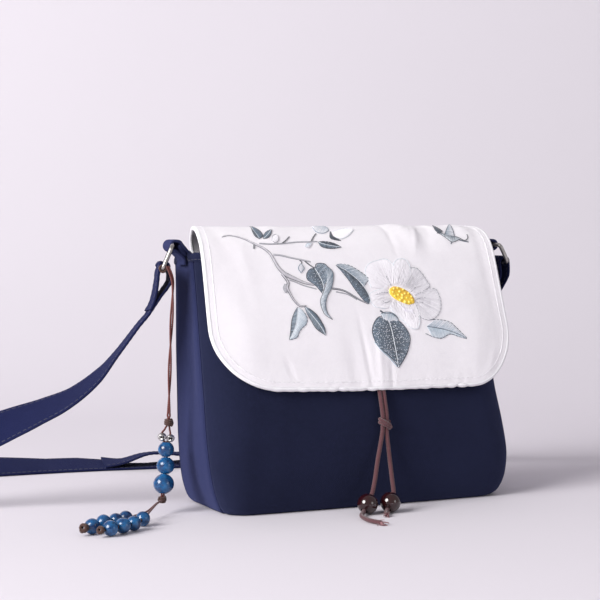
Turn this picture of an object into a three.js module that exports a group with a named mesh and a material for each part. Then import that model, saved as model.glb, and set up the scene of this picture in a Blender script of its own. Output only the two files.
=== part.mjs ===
import * as THREE from 'three';

// Embroidered cloth shoulder bag. Millimetres, Z up, front towards -Y, base centre at the origin.

// Driving sizes.
const MOUTH_Z = 160.2;
const HALF_WIDTH = 108;
const FRONT_DEPTH = 44;
const BACK_DEPTH = 41;
const CORNER_R = 28;
const WALL = 2;
const GAP = 0.35;
const CROWN = 1.2;
const DENT_DEPTH = 2;
const SEAM_ANGLE = 14;
const HEM_HEIGHT = 5;
const HEM_THICK = 3.2;
const SIDE_RISE = 4;
const FLAP_THICK = 2.6;
const FLAP_HALF = 104.2;
const FLAP_DROP = 82.6;
const FLAP_ARCH = 19.8;
const FLAP_CLEAR = 1.5;
const FLAP_CORNER = 41;
const FLAP_CORNER_RIGHT = 0.8;
const FLAP_LEFT_RISE = 4;
const FLAP_BOW = 2.2;
const FOLD_DEPTH = 1;
const PIPING_R = 1.5;
const TAB_W = 14;
const TAB_T = 1.8;
const TAB_CLEAR = 0.95;
const RING_WIRE = 1.4;
const RING_LONG = 31;
const RING_DROP = 13.4;
const RING_CORNER = 2.4;
const RING_OUT_LEFT = 8.3;
const RING_OUT_RIGHT = 14.2;
const RING_LIFT = 7.3;
const RING_Y = 12;
const STRAP_W = 24;
const STRAP_T = 1.8;
const STRAP_CLEAR = 1.1;
const CORD_R = 1.5;
const CORD_CLEAR = 0.6;
const STRAND_R = 0.58;
const STRAND_CLEAR = 0.5;
const STRAND_SPLIT = 0.98;
const CLOSURE_BEAD_R = 6.5;
const TAIL_BEAD_R = 4.25;

// Body sections as shares: height of the mouth's, half widths of HALF_WIDTH, depths of
// FRONT_DEPTH and BACK_DEPTH, corner radii of CORNER_R.
const BODY = [
  { z: 0, left: 0.8796, right: 0.8843, front: 0.8182, back: 0.8537, rf: 0.464, rb: 0.429 },
  { z: 0.005, left: 0.9019, right: 0.9111, front: 0.8705, back: 0.9024, rf: 0.536, rb: 0.5 },
  { z: 0.0187, left: 0.9241, right: 0.9407, front: 0.9182, back: 0.9415, rf: 0.571, rb: 0.536 },
  { z: 0.0499, left: 0.9472, right: 0.9759, front: 0.9591, back: 0.9659, rf: 0.643, rb: 0.607 },
  { z: 0.0999, left: 0.9704, right: 1.0037, front: 0.9886, back: 0.9829, rf: 0.714, rb: 0.679 },
  { z: 0.1873, left: 0.9907, right: 1.0204, front: 1.0045, back: 0.9951, rf: 0.821, rb: 0.75 },
  { z: 0.3121, left: 1, right: 1.0056, front: 0.9909, back: 1, rf: 0.964, rb: 0.75 },
  { z: 0.4619, left: 1.0019, right: 0.9722, front: 0.9182, back: 0.9951, rf: 1, rb: 0.714 },
  { z: 0.6242, left: 1.0019, right: 0.9611, front: 0.7864, back: 0.9902, rf: 0.964, rb: 0.643 },
  { z: 0.7491, left: 1, right: 0.963, front: 0.6364, back: 0.9854, rf: 0.857, rb: 0.607 },
  { z: 0.8614, left: 0.9981, right: 0.9676, front: 0.4818, back: 0.9805, rf: 0.714, rb: 0.571 },
  { z: 0.9488, left: 0.9963, right: 0.9722, front: 0.3409, back: 0.9707, rf: 0.607, rb: 0.5 },
  { z: 1.005, left: 0.9944, right: 0.9759, front: 0.2841, back: 0.961, rf: 0.536, rb: 0.429 },
];

// Flap profile on the centre line. Over the mouth: share of the way from back to front, share of
// the arch. Down the front: share of the drop, extra distance as a share of the clearance.
// Last column: half width as a share of FLAP_HALF.
const FLAP_OVER = [
  { along: 0, up: 0, w: 0.868 },
  { along: 0.025, up: 0.32, w: 0.882 },
  { along: 0.108, up: 0.66, w: 0.902 },
  { along: 0.258, up: 0.895, w: 0.925 },
  { along: 0.452, up: 1, w: 0.958 },
  { along: 0.646, up: 0.979, w: 0.982 },
  { along: 0.814, up: 0.77, w: 0.997 },
  { along: 0.94, up: 0.346, w: 1.002 },
];
const FLAP_DOWN = [
  { down: 0.051, off: 0.6, w: 1.005 },
  { down: 0.269, off: 0.2, w: 1.01 },
  { down: 0.487, off: 0.13, w: 1.015 },
  { down: 0.729, off: 0, w: 1.02 },
  { down: 0.867, off: 0, w: 1.02 },
  { down: 1, off: 0.45, w: 1.02 },
];

// Soft folds of the flap: place across and spread (shares of FLAP_HALF), place along and spread
// (shares of its length), lean (share of FLAP_HALF per length), height (share of FOLD_DEPTH).
const FOLDS = [
  { x: 0.4, s: 0.3, sx: 0.048, ss: 0.1, lean: 0.38, h: 1.1 },
  { x: 0.55, s: 0.33, sx: 0.038, ss: 0.08, lean: -0.29, h: -0.9 },
  { x: 0.84, s: 0.28, sx: 0.048, ss: 0.08, lean: 0.29, h: 1 },
  { x: -0.5, s: 0.3, sx: 0.067, ss: 0.09, lean: -0.29, h: 0.7 },
  { x: -0.115, s: 0.94, sx: 0.038, ss: 0.1, lean: 0.1, h: -0.8 },
  { x: 0.086, s: 0.94, sx: 0.048, ss: 0.12, lean: -0.1, h: 0.9 },
  { x: -0.8, s: 0.8, sx: 0.086, ss: 0.14, lean: 0.19, h: 0.8 },
  { x: 0.77, s: 0.82, sx: 0.086, ss: 0.14, lean: -0.19, h: 0.8 },
];

// Dents of the body: place and spread across (shares of HALF_WIDTH), up (shares of MOUTH_Z),
// depth (share of DENT_DEPTH, outward positive).
const DENTS = [
  { side: 'front', x: -0.28, z: 0.26, sx: 0.31, sz: 0.1, h: 0.5 },
  { side: 'front', x: 0.37, z: 0.19, sx: 0.24, sz: 0.075, h: -0.6 },
  { side: 'front', x: 0.81, z: 0.32, sx: 0.11, sz: 0.087, h: -0.7 },
  { side: 'back', x: -0.37, z: 0.44, sx: 0.28, sz: 0.19, h: 0.8 },
  { side: 'back', x: 0.43, z: 0.6, sx: 0.31, sz: 0.19, h: -0.7 },
  { side: 'left', x: 0.04, z: 0.62, sx: 0.13, sz: 0.21, h: -1.1 },
  { side: 'left', x: 0.055, z: 0.29, sx: 0.13, sz: 0.125, h: 0.5 },
  { side: 'right', x: 0.04, z: 0.6, sx: 0.13, sz: 0.21, h: -1.2 },
];

// Strap centre line from the sewn loop at the left ring to the right ring: place, direction of the
// width, share that lies on the floor, and the distance of the second layer where it is doubled.
// Rows at a ring hold their distance from its lower bar.
const STRAP = [
  { x: -11.7, y: -2, z: -23.8, wx: 0.34, wy: 0.94, wz: 0, rest: 0, at: 'left' },
  { x: -10.2, y: -2, z: -15.8, wx: 0.34, wy: 0.94, wz: 0, rest: 0, at: 'left' },
  { x: -7.6, y: -1.4, z: -6.9, wx: 0.34, wy: 0.94, wz: 0, rest: 0, at: 'left' },
  { turn: 'left' },
  { x: 4.6, y: -0.4, z: -8.9, wx: 0.34, wy: 0.94, wz: 0, rest: 0, at: 'left' },
  { x: 1.2, y: -1.2, z: -15.7, wx: 0.34, wy: 0.94, wz: 0, rest: 0, at: 'left' },
  { x: -6.6, y: -1.6, z: -26, wx: 0.34, wy: 0.94, wz: 0, rest: 0, at: 'left' },
  { x: -11, y: -1.4, z: -31.7, wx: 0.34, wy: 0.94, wz: 0, rest: 0, at: 'left' },
  { x: -16.8, y: 0, z: -39.7, wx: 0.34, wy: 0.94, wz: 0.04, rest: 0, at: 'left' },
  { x: -150.9, y: 16, z: 100.5, wx: 0.35, wy: 0.92, wz: 0.17, rest: 0 },
  { x: -162.9, y: 20, z: 85.4, wx: 0.34, wy: 0.87, wz: 0.36, rest: 0 },
  { x: -179.5, y: 26, z: 71.7, wx: 0.32, wy: 0.82, wz: 0.45, rest: 0 },
  { x: -196.7, y: 34, z: 62.8, wx: 0.28, wy: 0.73, wz: 0.6, rest: 0 },
  { x: -218.8, y: 44, z: 53, wx: 0.18, wy: 0.52, wz: 0.83, rest: 0 },
  { x: -252, y: 54, z: 38, wx: 0.05, wy: 0.3, wz: 0.95, rest: 0 },
  { x: -290, y: 62, z: 22, wx: 0, wy: 0.15, wz: 0.98, rest: 0 },
  { x: -330, y: 72, z: 13.4, wx: 0, wy: 0, wz: 1, rest: 1 },
  { x: -362, y: 92, z: 12.6, wx: 0, wy: 0, wz: 1, rest: 1 },
  { x: -376, y: 126, z: 12.6, wx: 0, wy: 0, wz: 1, rest: 1 },
  { x: -364, y: 160, z: 12.6, wx: 0.05, wy: -0.05, wz: 1, rest: 1 },
  { x: -330, y: 180, z: 12.2, wx: 0, wy: 0.25, wz: 0.97, rest: 1 },
  { x: -285, y: 188, z: 10.4, wx: 0, wy: 0.5, wz: 0.86, rest: 1 },
  { x: -235, y: 191, z: 8.2, wx: 0, wy: 0.72, wz: 0.66, rest: 1 },
  { x: -185, y: 192, z: 7.6, wx: 0, wy: 0.85, wz: 0.53, rest: 1 },
  { x: -147, y: 191, z: 5, wx: 0, wy: 0.94, wz: 0.34, rest: 1 },
  { x: -110, y: 187, z: 3.4, wx: 0.05, wy: 0.98, wz: 0.18, rest: 1, apart: 2.4 },
  { x: -92, y: 184.6, z: 3.4, wx: 0.05, wy: 0.98, wz: 0.16, rest: 1, apart: 4.4 },
  { x: -72, y: 181, z: 3.4, wx: 0.1, wy: 0.98, wz: 0.16, rest: 1, apart: 7.4 },
  { x: -30, y: 174, z: 3.4, wx: 0.15, wy: 0.97, wz: 0.18, rest: 1, apart: 6 },
  { x: 20, y: 164, z: 5, wx: 0.3, wy: 0.9, wz: 0.3, rest: 1, apart: 4 },
  { x: 68, y: 144, z: 12, wx: 0.45, wy: 0.85, wz: 0.25, rest: 0.3, apart: 3.4 },
  { x: 103, y: 110, z: 34, wx: 0.65, wy: 0.75, wz: 0, rest: 0, apart: 3.2 },
  { x: 119, y: 72, z: 72, wx: 0.9, wy: 0.35, wz: -0.04, rest: 0, apart: 3 },
  { x: 124, y: 40, z: 108, wx: 0.93, wy: 0.32, wz: 0.14, rest: 0, apart: 3 },
  { x: 0, y: 11.5, z: -28.7, wx: 0.62, wy: 0.72, wz: 0.3, rest: 0, at: 'right', apart: 3.6 },
  { x: 2.2, y: 2.6, z: -16.7, wx: 0.25, wy: 0.95, wz: 0.12, rest: 0, at: 'right', apart: 4.8 },
  { x: 3.5, y: 0.1, z: -8.1, wx: 0, wy: 1, wz: 0, rest: 0, at: 'right', apart: 5.8 },
];

// Closure cords, from under the flap's edge to the ends on the floor.
const CLOSURE_LEFT = [
  { x: 3.4, y: -45.4, z: 69.8 },
  { x: 3.6, y: -48, z: 63.5 },
  { x: 3.7, y: -49, z: 58.5 },
  { x: 3.7, y: -49, z: 50 },
  { x: 1.9, y: -50.3, z: 42.5 },
  { x: -1.6, y: -52.6, z: 31 },
  { x: -5.8, y: -56.6, z: 18.6 },
  { x: -10.3, y: -60.9, z: 10.8 },
  { x: -14.9, y: -64.6, z: 6.6 },
  { x: -19.5, y: -68.3, z: 2.7 },
  { x: -24.4, y: -75, z: 1.75 },
  { x: -27, y: -84, z: 1.7 },
  { x: -27.4, y: -93, z: 1.7 },
  { x: -24.6, y: -101, z: 1.7 },
];
const CLOSURE_RIGHT = [
  { x: 7.6, y: -45.4, z: 69.8 },
  { x: 7.4, y: -48, z: 63.5 },
  { x: 7.3, y: -49, z: 58.5 },
  { x: 7.3, y: -49, z: 50 },
  { x: 9, y: -50.3, z: 42.5 },
  { x: 10.2, y: -52.2, z: 31 },
  { x: 9.2, y: -56.6, z: 19 },
  { x: 5.3, y: -61.2, z: 10.9 },
  { x: 0.9, y: -65.2, z: 6.6 },
  { x: -3.5, y: -69.2, z: 2.6 },
  { x: -6.8, y: -74, z: 1.75 },
  { x: -8.8, y: -79, z: 1.7 },
];
const CLOSURE_BEAD_ROW = 8;
const KNOT = { x: 5.5, y: -49, z: 54.2 };

// Charm core from the hitch to the lower knot: place, with x from the left ring's lower bar, and
// the strands' distance from it as a share of STRAND_SPLIT. The tails, bells and end knots hold
// their x from the same bar.
const CHARM_CORE = [
  { x: -5, y: -4.6, z: 156, split: 1 },
  { x: -3.6, y: -4.7, z: 150.6, split: 1 },
  { x: -1.5, y: -4.7, z: 143, split: 1 },
  { x: -1.1, y: -4.7, z: 132, split: 1 },
  { x: -1.9, y: -4.8, z: 110, split: 1 },
  { x: -2.9, y: -5, z: 84, split: 1 },
  { x: -3.5, y: -5, z: 62, split: 1 },
  { x: -3.7, y: -5, z: 56.9, split: 1 },
  { x: -4.5, y: -5, z: 53.2, split: 1.94 },
  { x: -5.3, y: -5, z: 51.4, split: 2.96 },
  { x: -5.3, y: -5, z: 47.2, split: 2.96 },
  { x: -5.4, y: -5, z: 44.3, split: 1 },
  { x: -5.4, y: -5, z: 39.6, split: 1 },
  { x: -6.1, y: -6, z: 29.6, split: 1 },
  { x: -8.1, y: -7.8, z: 18.4, split: 1 },
  { x: -9.5, y: -9.2, z: 9.4, split: 1 },
];
const TAIL_A = [
  { x: -14.4, y: -13.6, z: 3.6 },
  { x: -23.4, y: -26, z: 1.6 },
  { x: -29.6, y: -36.4, z: 3.2 },
  { x: -34.5, y: -43.6, z: 4.3 },
  { x: -39.3, y: -49.8, z: 4.3 },
  { x: -44.2, y: -55.2, z: 4.3 },
  { x: -52.6, y: -60.6, z: 4.3 },
  { x: -61.8, y: -65.3, z: 4.3 },
  { x: -66.3, y: -67.3, z: 3.5 },
];
const TAIL_B = [
  { x: -12.8, y: -11.4, z: 3.6 },
  { x: -24.8, y: -20.6, z: 1.6 },
  { x: -36.8, y: -31.8, z: 3.2 },
  { x: -43.1, y: -37.5, z: 4.3 },
  { x: -51, y: -42.6, z: 4.3 },
  { x: -59.8, y: -46.2, z: 4.3 },
  { x: -65.2, y: -50.2, z: 4.2 },
  { x: -69.7, y: -55, z: 4.3 },
  { x: -73, y: -58.9, z: 3.7 },
];

// Beads and knots on the core: row, radius, share of the height, slack of the bore.
const CHARM_PIECES = [
  { name: 'charm_knot_upper', row: 7, r: 2.7, tall: 0.9, slack: 0.25, mat: 'reddish' },
  { name: 'charm_bead_1', row: 12, r: 5, tall: 0.84, slack: 0.3, mat: 'glaze' },
  { name: 'charm_bead_2', row: 13, r: 5.5, tall: 0.86, slack: 0.1, mat: 'glaze' },
  { name: 'charm_bead_3', row: 14, r: 6.3, tall: 0.9, slack: 0.2, mat: 'glaze' },
  { name: 'charm_knot_lower', row: 15, r: 2.7, tall: 0.85, slack: 0.3, mat: 'reddish' },
];
const BELLS = [
  { name: 'charm_bell_a', x: -8.2, y: -5, z: 49, r: 2.5, tall: 0.85 },
  { name: 'charm_bell_b', x: -2.4, y: -5, z: 49, r: 2.2, tall: 0.95 },
];
const END_KNOTS = [
  { name: 'tail_knot_a', x: -68.4, y: -68.2, z: 2.4, r: 2.1 },
  { name: 'tail_knot_b', x: -75, y: -61, z: 2.8, r: 2.7 },
];
// Tail beads by tail and row.
const TAIL_PIECES = [
  { name: 'tail_bead_a', tail: 'A', row: 3 },
  { name: 'tail_bead_b', tail: 'A', row: 5 },
  { name: 'tail_bead_c', tail: 'A', row: 6 },
  { name: 'tail_bead_d', tail: 'A', row: 7 },
  { name: 'tail_bead_e', tail: 'B', row: 3 },
  { name: 'tail_bead_f', tail: 'B', row: 4 },
  { name: 'tail_bead_g', tail: 'B', row: 5 },
  { name: 'tail_bead_h', tail: 'B', row: 7 },
];

const MATERIALS = {
  navy: { color: 0x2a2f4c, roughness: 0.9, metalness: 0 },
  pale: { color: 0xefebf0, roughness: 0.85, metalness: 0 },
  white: { color: 0xf4f1f2, roughness: 0.8, metalness: 0 },
  metal: { color: 0xb9bcc0, roughness: 0.3, metalness: 1 },
  cord: { color: 0x70504c, roughness: 0.6, metalness: 0 },
  maroon: { color: 0x3c1416, roughness: 0.12, metalness: 0 },
  brown: { color: 0x6b4a34, roughness: 0.6, metalness: 0 },
  reddish: { color: 0x7a3f34, roughness: 0.6, metalness: 0 },
  silver: { color: 0xc9c8c4, roughness: 0.35, metalness: 1 },
  glaze: { color: 0x2b6a96, roughness: 0.15, metalness: 0 },
};

const group = new THREE.Group();
group.name = 'embroidered_bag';

function addMesh(name, geometry, material) {
  const look = new THREE.MeshStandardMaterial(MATERIALS[material]);
  look.name = material;
  const mesh = new THREE.Mesh(geometry, look);
  mesh.name = name;
  group.add(mesh);
  return mesh;
}

const V = (x, y, z) => new THREE.Vector3(x, y, z);
const lerp = (a, b, t) => a + (b - a) * t;
const rad = (d) => d * Math.PI / 180;
const points = (rows) => rows.map((r) => V(r.x, r.y, r.z));
const gauss = (d, s) => Math.exp(-d * d / (2 * s * s));

// A closed solid from a grid of points, rows by columns, with both ends capped where open.
function solidFromLoops(loops, closedRows) {
  const n = loops[0].length;
  const m = loops.length;
  const pos = [];
  for (const loop of loops) {
    for (const p of loop) pos.push(p.x, p.y, p.z);
  }
  const idx = [];
  const last = closedRows ? m : m - 1;
  for (let i = 0; i < last; i += 1) {
    for (let j = 0; j < n; j += 1) {
      const a = i * n + j;
      const b = i * n + (j + 1) % n;
      const c = ((i + 1) % m) * n + (j + 1) % n;
      const d = ((i + 1) % m) * n + j;
      idx.push(a, b, c, a, c, d);
    }
  }
  if (!closedRows) {
    for (const [row, flip] of [[0, true], [m - 1, false]]) {
      const contour = flatContour(loops[row]);
      for (const [a, b, c] of THREE.ShapeUtils.triangulateShape(contour, [])) {
        const t = [row * n + a, row * n + b, row * n + c];
        if (flip) t.reverse();
        idx.push(...t);
      }
    }
  }
  return finish(pos, idx);
}

// A loop of points laid flat on its own mean plane, for capping.
function flatContour(loop) {
  const normal = V(0, 0, 0);
  const centre = V(0, 0, 0);
  loop.forEach((p, i) => {
    const q = loop[(i + 1) % loop.length];
    normal.add(V().crossVectors(p, q));
    centre.add(p);
  });
  normal.normalize();
  centre.divideScalar(loop.length);
  const ex = V().subVectors(loop[0], centre).normalize();
  const ey = V().crossVectors(normal, ex);
  return loop.map((p) => {
    const d = V().subVectors(p, centre);
    return new THREE.Vector2(d.dot(ex), d.dot(ey));
  });
}

// Turned right side out by the sign of the enclosed volume.
function finish(pos, idx) {
  let volume = 0;
  const p = (k) => V(pos[3 * k], pos[3 * k + 1], pos[3 * k + 2]);
  for (let i = 0; i < idx.length; i += 3) {
    volume += p(idx[i]).dot(V().crossVectors(p(idx[i + 1]), p(idx[i + 2])));
  }
  if (volume < 0) {
    for (let i = 0; i < idx.length; i += 3) {
      const t = idx[i + 1];
      idx[i + 1] = idx[i + 2];
      idx[i + 2] = t;
    }
  }
  const g = new THREE.BufferGeometry();
  g.setAttribute('position', new THREE.Float32BufferAttribute(pos, 3));
  g.setIndex(idx);
  g.computeVertexNormals();
  return g;
}

// A walled sheet: an outer grid and an inner grid joined round the four edges.
function sheetSolid(outer, inner) {
  const m = outer.length;
  const n = outer[0].length;
  const pos = [];
  for (const grid of [outer, inner]) {
    for (const row of grid) {
      for (const p of row) pos.push(p.x, p.y, p.z);
    }
  }
  const at = (k, i, j) => k * m * n + i * n + j;
  const idx = [];
  const quad = (a, b, c, d) => idx.push(a, b, c, a, c, d);
  for (let i = 0; i < m - 1; i += 1) {
    for (let j = 0; j < n - 1; j += 1) {
      quad(at(0, i, j), at(0, i, j + 1), at(0, i + 1, j + 1), at(0, i + 1, j));
      quad(at(1, i, j), at(1, i + 1, j), at(1, i + 1, j + 1), at(1, i, j + 1));
    }
  }
  for (let j = 0; j < n - 1; j += 1) {
    quad(at(0, 0, j), at(1, 0, j), at(1, 0, j + 1), at(0, 0, j + 1));
    quad(at(0, m - 1, j), at(0, m - 1, j + 1), at(1, m - 1, j + 1), at(1, m - 1, j));
  }
  for (let i = 0; i < m - 1; i += 1) {
    quad(at(0, i, 0), at(0, i + 1, 0), at(1, i + 1, 0), at(1, i, 0));
    quad(at(0, i, n - 1), at(1, i, n - 1), at(1, i + 1, n - 1), at(0, i + 1, n - 1));
  }
  return finish(pos, idx);
}

// Normals of a grid of points by differences between neighbours.
function gridNormals(grid) {
  const m = grid.length;
  const n = grid[0].length;
  return grid.map((row, i) => row.map((_, j) => {
    const down = grid[Math.min(i + 1, m - 1)][j];
    const up = grid[Math.max(i - 1, 0)][j];
    const right = grid[i][Math.min(j + 1, n - 1)];
    const left = grid[i][Math.max(j - 1, 0)];
    return V().crossVectors(V().subVectors(right, left), V().subVectors(down, up)).normalize();
  }));
}

function offsetGrid(grid, distance) {
  const normals = gridNormals(grid);
  return grid.map((row, i) => row.map((p, j) => p.clone().addScaledVector(normals[i][j], distance)));
}

// Smooth reading of a table by a named column.
function smooth(table, key, column, at) {
  const last = table.length - 1;
  let i = 0;
  while (i < last - 1 && at > table[i + 1][key]) i += 1;
  const a = table[Math.max(i - 1, 0)];
  const b = table[i];
  const c = table[i + 1];
  const d = table[Math.min(i + 2, last)];
  const h = c[key] - b[key];
  const t = Math.min(Math.max((at - b[key]) / h, 0), 1);
  const m0 = a === b ? (c[column] - b[column]) : (c[column] - a[column]) / (c[key] - a[key]) * h;
  const m1 = d === c ? (c[column] - b[column]) : (d[column] - b[column]) / (d[key] - b[key]) * h;
  const t2 = t * t;
  const t3 = t2 * t;
  return (2 * t3 - 3 * t2 + 1) * b[column] + (t3 - 2 * t2 + t) * m0
    + (3 * t2 - 2 * t3) * c[column] + (t3 - t2) * m1;
}

const BODY_UNIT = {
  left: HALF_WIDTH, right: HALF_WIDTH, front: FRONT_DEPTH, back: BACK_DEPTH, rf: CORNER_R, rb: CORNER_R,
};

function section(z) {
  const s = {};
  for (const column of Object.keys(BODY_UNIT)) {
    s[column] = BODY_UNIT[column] * smooth(BODY, 'z', column, z / MOUTH_Z);
  }
  return s;
}

function dent(side, x, z) {
  let d = 0;
  for (const k of DENTS) {
    const across = gauss(x / HALF_WIDTH - k.x, k.sx);
    if (k.side === side) d += k.h * DENT_DEPTH * across * gauss(z / MOUTH_Z - k.z, k.sz);
  }
  return d;
}

// A point of the body's skin, inset by a distance. Angle runs round a corner from the side (0) to
// the face (90), or a share runs along a straight run.
function cornerPoint(z, sideSign, faceSign, angle, inset) {
  const s = section(z);
  const half = sideSign < 0 ? s.left : s.right;
  const depth = faceSign < 0 ? s.front : s.back;
  const r = faceSign < 0 ? s.rf : s.rb;
  const c = Math.cos(rad(angle));
  const t = Math.sin(rad(angle));
  const x = sideSign * (half - r + (r - inset) * c);
  const y = faceSign * (depth - r + (r - inset) * t);
  return V(x, y, z);
}

// Half the seam's gap, a little wider at the foot.
const seamGap = (z) => GAP * (z < 4 ? 2.4 : 0.85);

// Front or back panel: a row of columns from the left seam, round the corner, across and round again.
function panelRow(z, faceSign, inset, arcs, across) {
  const s = section(z);
  const side = faceSign < 0 ? 'front' : 'back';
  const r = faceSign < 0 ? s.rf : s.rb;
  const depth = faceSign < 0 ? s.front : s.back;
  const start = SEAM_ANGLE + seamGap(z) / r * 57.3;
  const row = [];
  for (let i = 0; i < arcs; i += 1) {
    row.push(cornerPoint(z, -1, faceSign, lerp(start, 90, i / arcs), inset));
  }
  const x0 = -(s.left - r);
  const x1 = s.right - r;
  for (let i = 0; i <= across; i += 1) {
    const x = lerp(x0, x1, i / across);
    const edge = Math.min(1, 4 * (i / across) * (1 - i / across));
    const crown = (CROWN + dent(side, x, z)) * edge;
    row.push(V(x, faceSign * (depth - inset + crown), z));
  }
  for (let i = arcs - 1; i >= 0; i -= 1) {
    row.push(cornerPoint(z, 1, faceSign, lerp(start, 90, i / arcs), inset));
  }
  return row;
}

const PANEL_TOP = MOUTH_Z - HEM_HEIGHT - GAP;
const FOOT = [0, 0.8, 3];
const RISE = [0.05, 0.1, 0.175, 0.262, 0.362, 0.475, 0.6, 0.724, 0.85];
const PANEL_Z = [...FOOT, ...RISE.map((share) => share * MOUTH_Z), PANEL_TOP];

function panel(faceSign) {
  const outer = PANEL_Z.map((z) => panelRow(z, faceSign, 0, 3, 9));
  const inner = PANEL_Z.map((z) => panelRow(Math.max(z, WALL), faceSign, WALL, 3, 9));
  inner.forEach((row, i) => {
    const lift = [WALL, WALL + 0.5, WALL + 2];
    if (i < 3) row.forEach((p) => { p.z = lift[i]; });
  });
  return sheetSolid(outer, inner);
}

// Side of the gusset: from the back seam round to the front seam, at one height.
function sideRow(z, sideSign, inset, columns) {
  const s = section(z);
  const name = sideSign < 0 ? 'left' : 'right';
  const half = sideSign < 0 ? s.left : s.right;
  const rise = SIDE_RISE * Math.pow(Math.max(z, 0) / MOUTH_Z, 6);
  const row = [];
  const seamB = SEAM_ANGLE - seamGap(z) / s.rb * 57.3;
  const seamF = SEAM_ANGLE - seamGap(z) / s.rf * 57.3;
  row.push(cornerPoint(z, sideSign, 1, seamB, inset));
  const y0 = s.back - s.rb;
  const y1 = -(s.front - s.rf);
  for (let i = 0; i < columns; i += 1) {
    const t = i / (columns - 1);
    const y = lerp(y0, y1, t);
    const edge = 4 * t * (1 - t);
    const x = sideSign * (half - inset + edge * dent(name, y, z));
    row.push(V(x, y, z + rise * edge));
  }
  row.push(cornerPoint(z, sideSign, -1, seamF, inset));
  return row;
}

// Gusset: down the left side, across the flat base and up the right side, as one strip.
function gusset() {
  const heights = PANEL_Z.slice().reverse();
  const lowInner = [WALL + 2, WALL + 0.5, WALL];
  const h = heights.length;
  const side = (sign) => {
    const out = heights.map((z) => sideRow(z, sign, 0, 5));
    const inn = heights.map((z) => sideRow(Math.max(z, WALL), sign, WALL, 5));
    [h - 3, h - 2, h - 1].forEach((k, i) => inn[k].forEach((p) => { p.z = lowInner[i]; }));
    return { out, inn };
  };
  const left = side(-1);
  const right = side(1);
  const s = section(0);
  const inset = GAP * 1.6;
  const base = [];
  const baseRow = (sign, angle) => {
    const back = cornerPoint(0, sign, 1, angle, inset);
    const front = cornerPoint(0, sign, -1, angle, inset);
    const row = [back];
    for (let i = 0; i < 5; i += 1) row.push(back.clone().lerp(front, (i + 1) / 6));
    row.push(front);
    return row;
  };
  const across = [0.333, 0.667].map((t) => {
    const a = baseRow(-1, 90);
    const b = baseRow(1, 90);
    return a.map((p, j) => p.clone().lerp(b[j], t));
  });
  base.push(baseRow(-1, 50), baseRow(-1, 90), ...across, baseRow(1, 90), baseRow(1, 50));
  const lift = (row) => row.map((p) => V(p.x, p.y, WALL));
  const outer = [...left.out, ...base, ...right.out.slice().reverse()];
  const inner = [...left.inn, ...base.map(lift), ...right.inn.slice().reverse()];
  return sheetSolid(outer, inner);
}

// The hem: a closed band round the mouth, a little thicker than the walls.
function mouthHem() {
  const loops = [];
  const proud = (HEM_THICK - WALL) / 2;
  const ring = (z, inset) => {
    const back = panelRow(z, 1, inset, 3, 8);
    const front = panelRow(z, -1, inset, 3, 8).reverse();
    const right = sideRow(z, 1, inset, 5).slice(1, -1);
    const left = sideRow(z, -1, inset, 5).slice(1, -1).reverse();
    const rise = (p) => V(p.x, p.y, p.z);
    return [...back, ...right.map(rise), ...front, ...left.map(rise)];
  };
  const low = MOUTH_Z - HEM_HEIGHT;
  const rings = [
    ring(low, -proud),
    ring(MOUTH_Z - 1, -proud),
    ring(MOUTH_Z, WALL / 2),
    ring(MOUTH_Z - 1, WALL + proud),
    ring(low, WALL + proud),
  ];
  const count = rings[0].length;
  for (let i = 0; i < count; i += 1) {
    loops.push(rings.map((r) => r[i]));
  }
  return solidFromLoops(loops, true);
}

// Flap: rows worked out from the body and the shares, then an arc length table of the profile.
const flapFront = (z) => -(section(z).front + CROWN + FLAP_CLEAR + FLAP_THICK);
const FLAP = [
  ...FLAP_OVER.map((r) => ({
    y: lerp(section(MOUTH_Z).back - WALL / 2 + 0.2, flapFront(MOUTH_Z), r.along),
    z: lerp(MOUTH_Z + 2 * GAP, MOUTH_Z + FLAP_ARCH, r.up),
    w: r.w,
  })),
  ...FLAP_DOWN.map((r) => ({
    y: flapFront(MOUTH_Z - r.down * FLAP_DROP) - r.off * FLAP_CLEAR,
    z: MOUTH_Z - r.down * FLAP_DROP,
    w: r.w,
  })),
];
const flapIndexed = FLAP.map((r, i) => ({ i, ...r }));

function flapProfile(t) {
  const k = t * (FLAP.length - 1);
  return {
    y: smooth(flapIndexed, 'i', 'y', k),
    z: smooth(flapIndexed, 'i', 'z', k),
    w: smooth(flapIndexed, 'i', 'w', k),
  };
}

const FLAP_ARC = [];
{
  let total = 0;
  let before = flapProfile(0);
  FLAP_ARC.push({ t: 0, s: 0 });
  for (let i = 1; i <= 200; i += 1) {
    const now = flapProfile(i / 200);
    total += Math.hypot(now.y - before.y, now.z - before.z);
    FLAP_ARC.push({ t: i / 200, s: total });
    before = now;
  }
}
const FLAP_LENGTH = FLAP_ARC[200].s;

function flapShare(s) {
  let i = 0;
  while (i < 199 && FLAP_ARC[i + 1].s < s) i += 1;
  const a = FLAP_ARC[i];
  const b = FLAP_ARC[i + 1];
  return lerp(a.t, b.t, (s - a.s) / (b.s - a.s));
}

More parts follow.
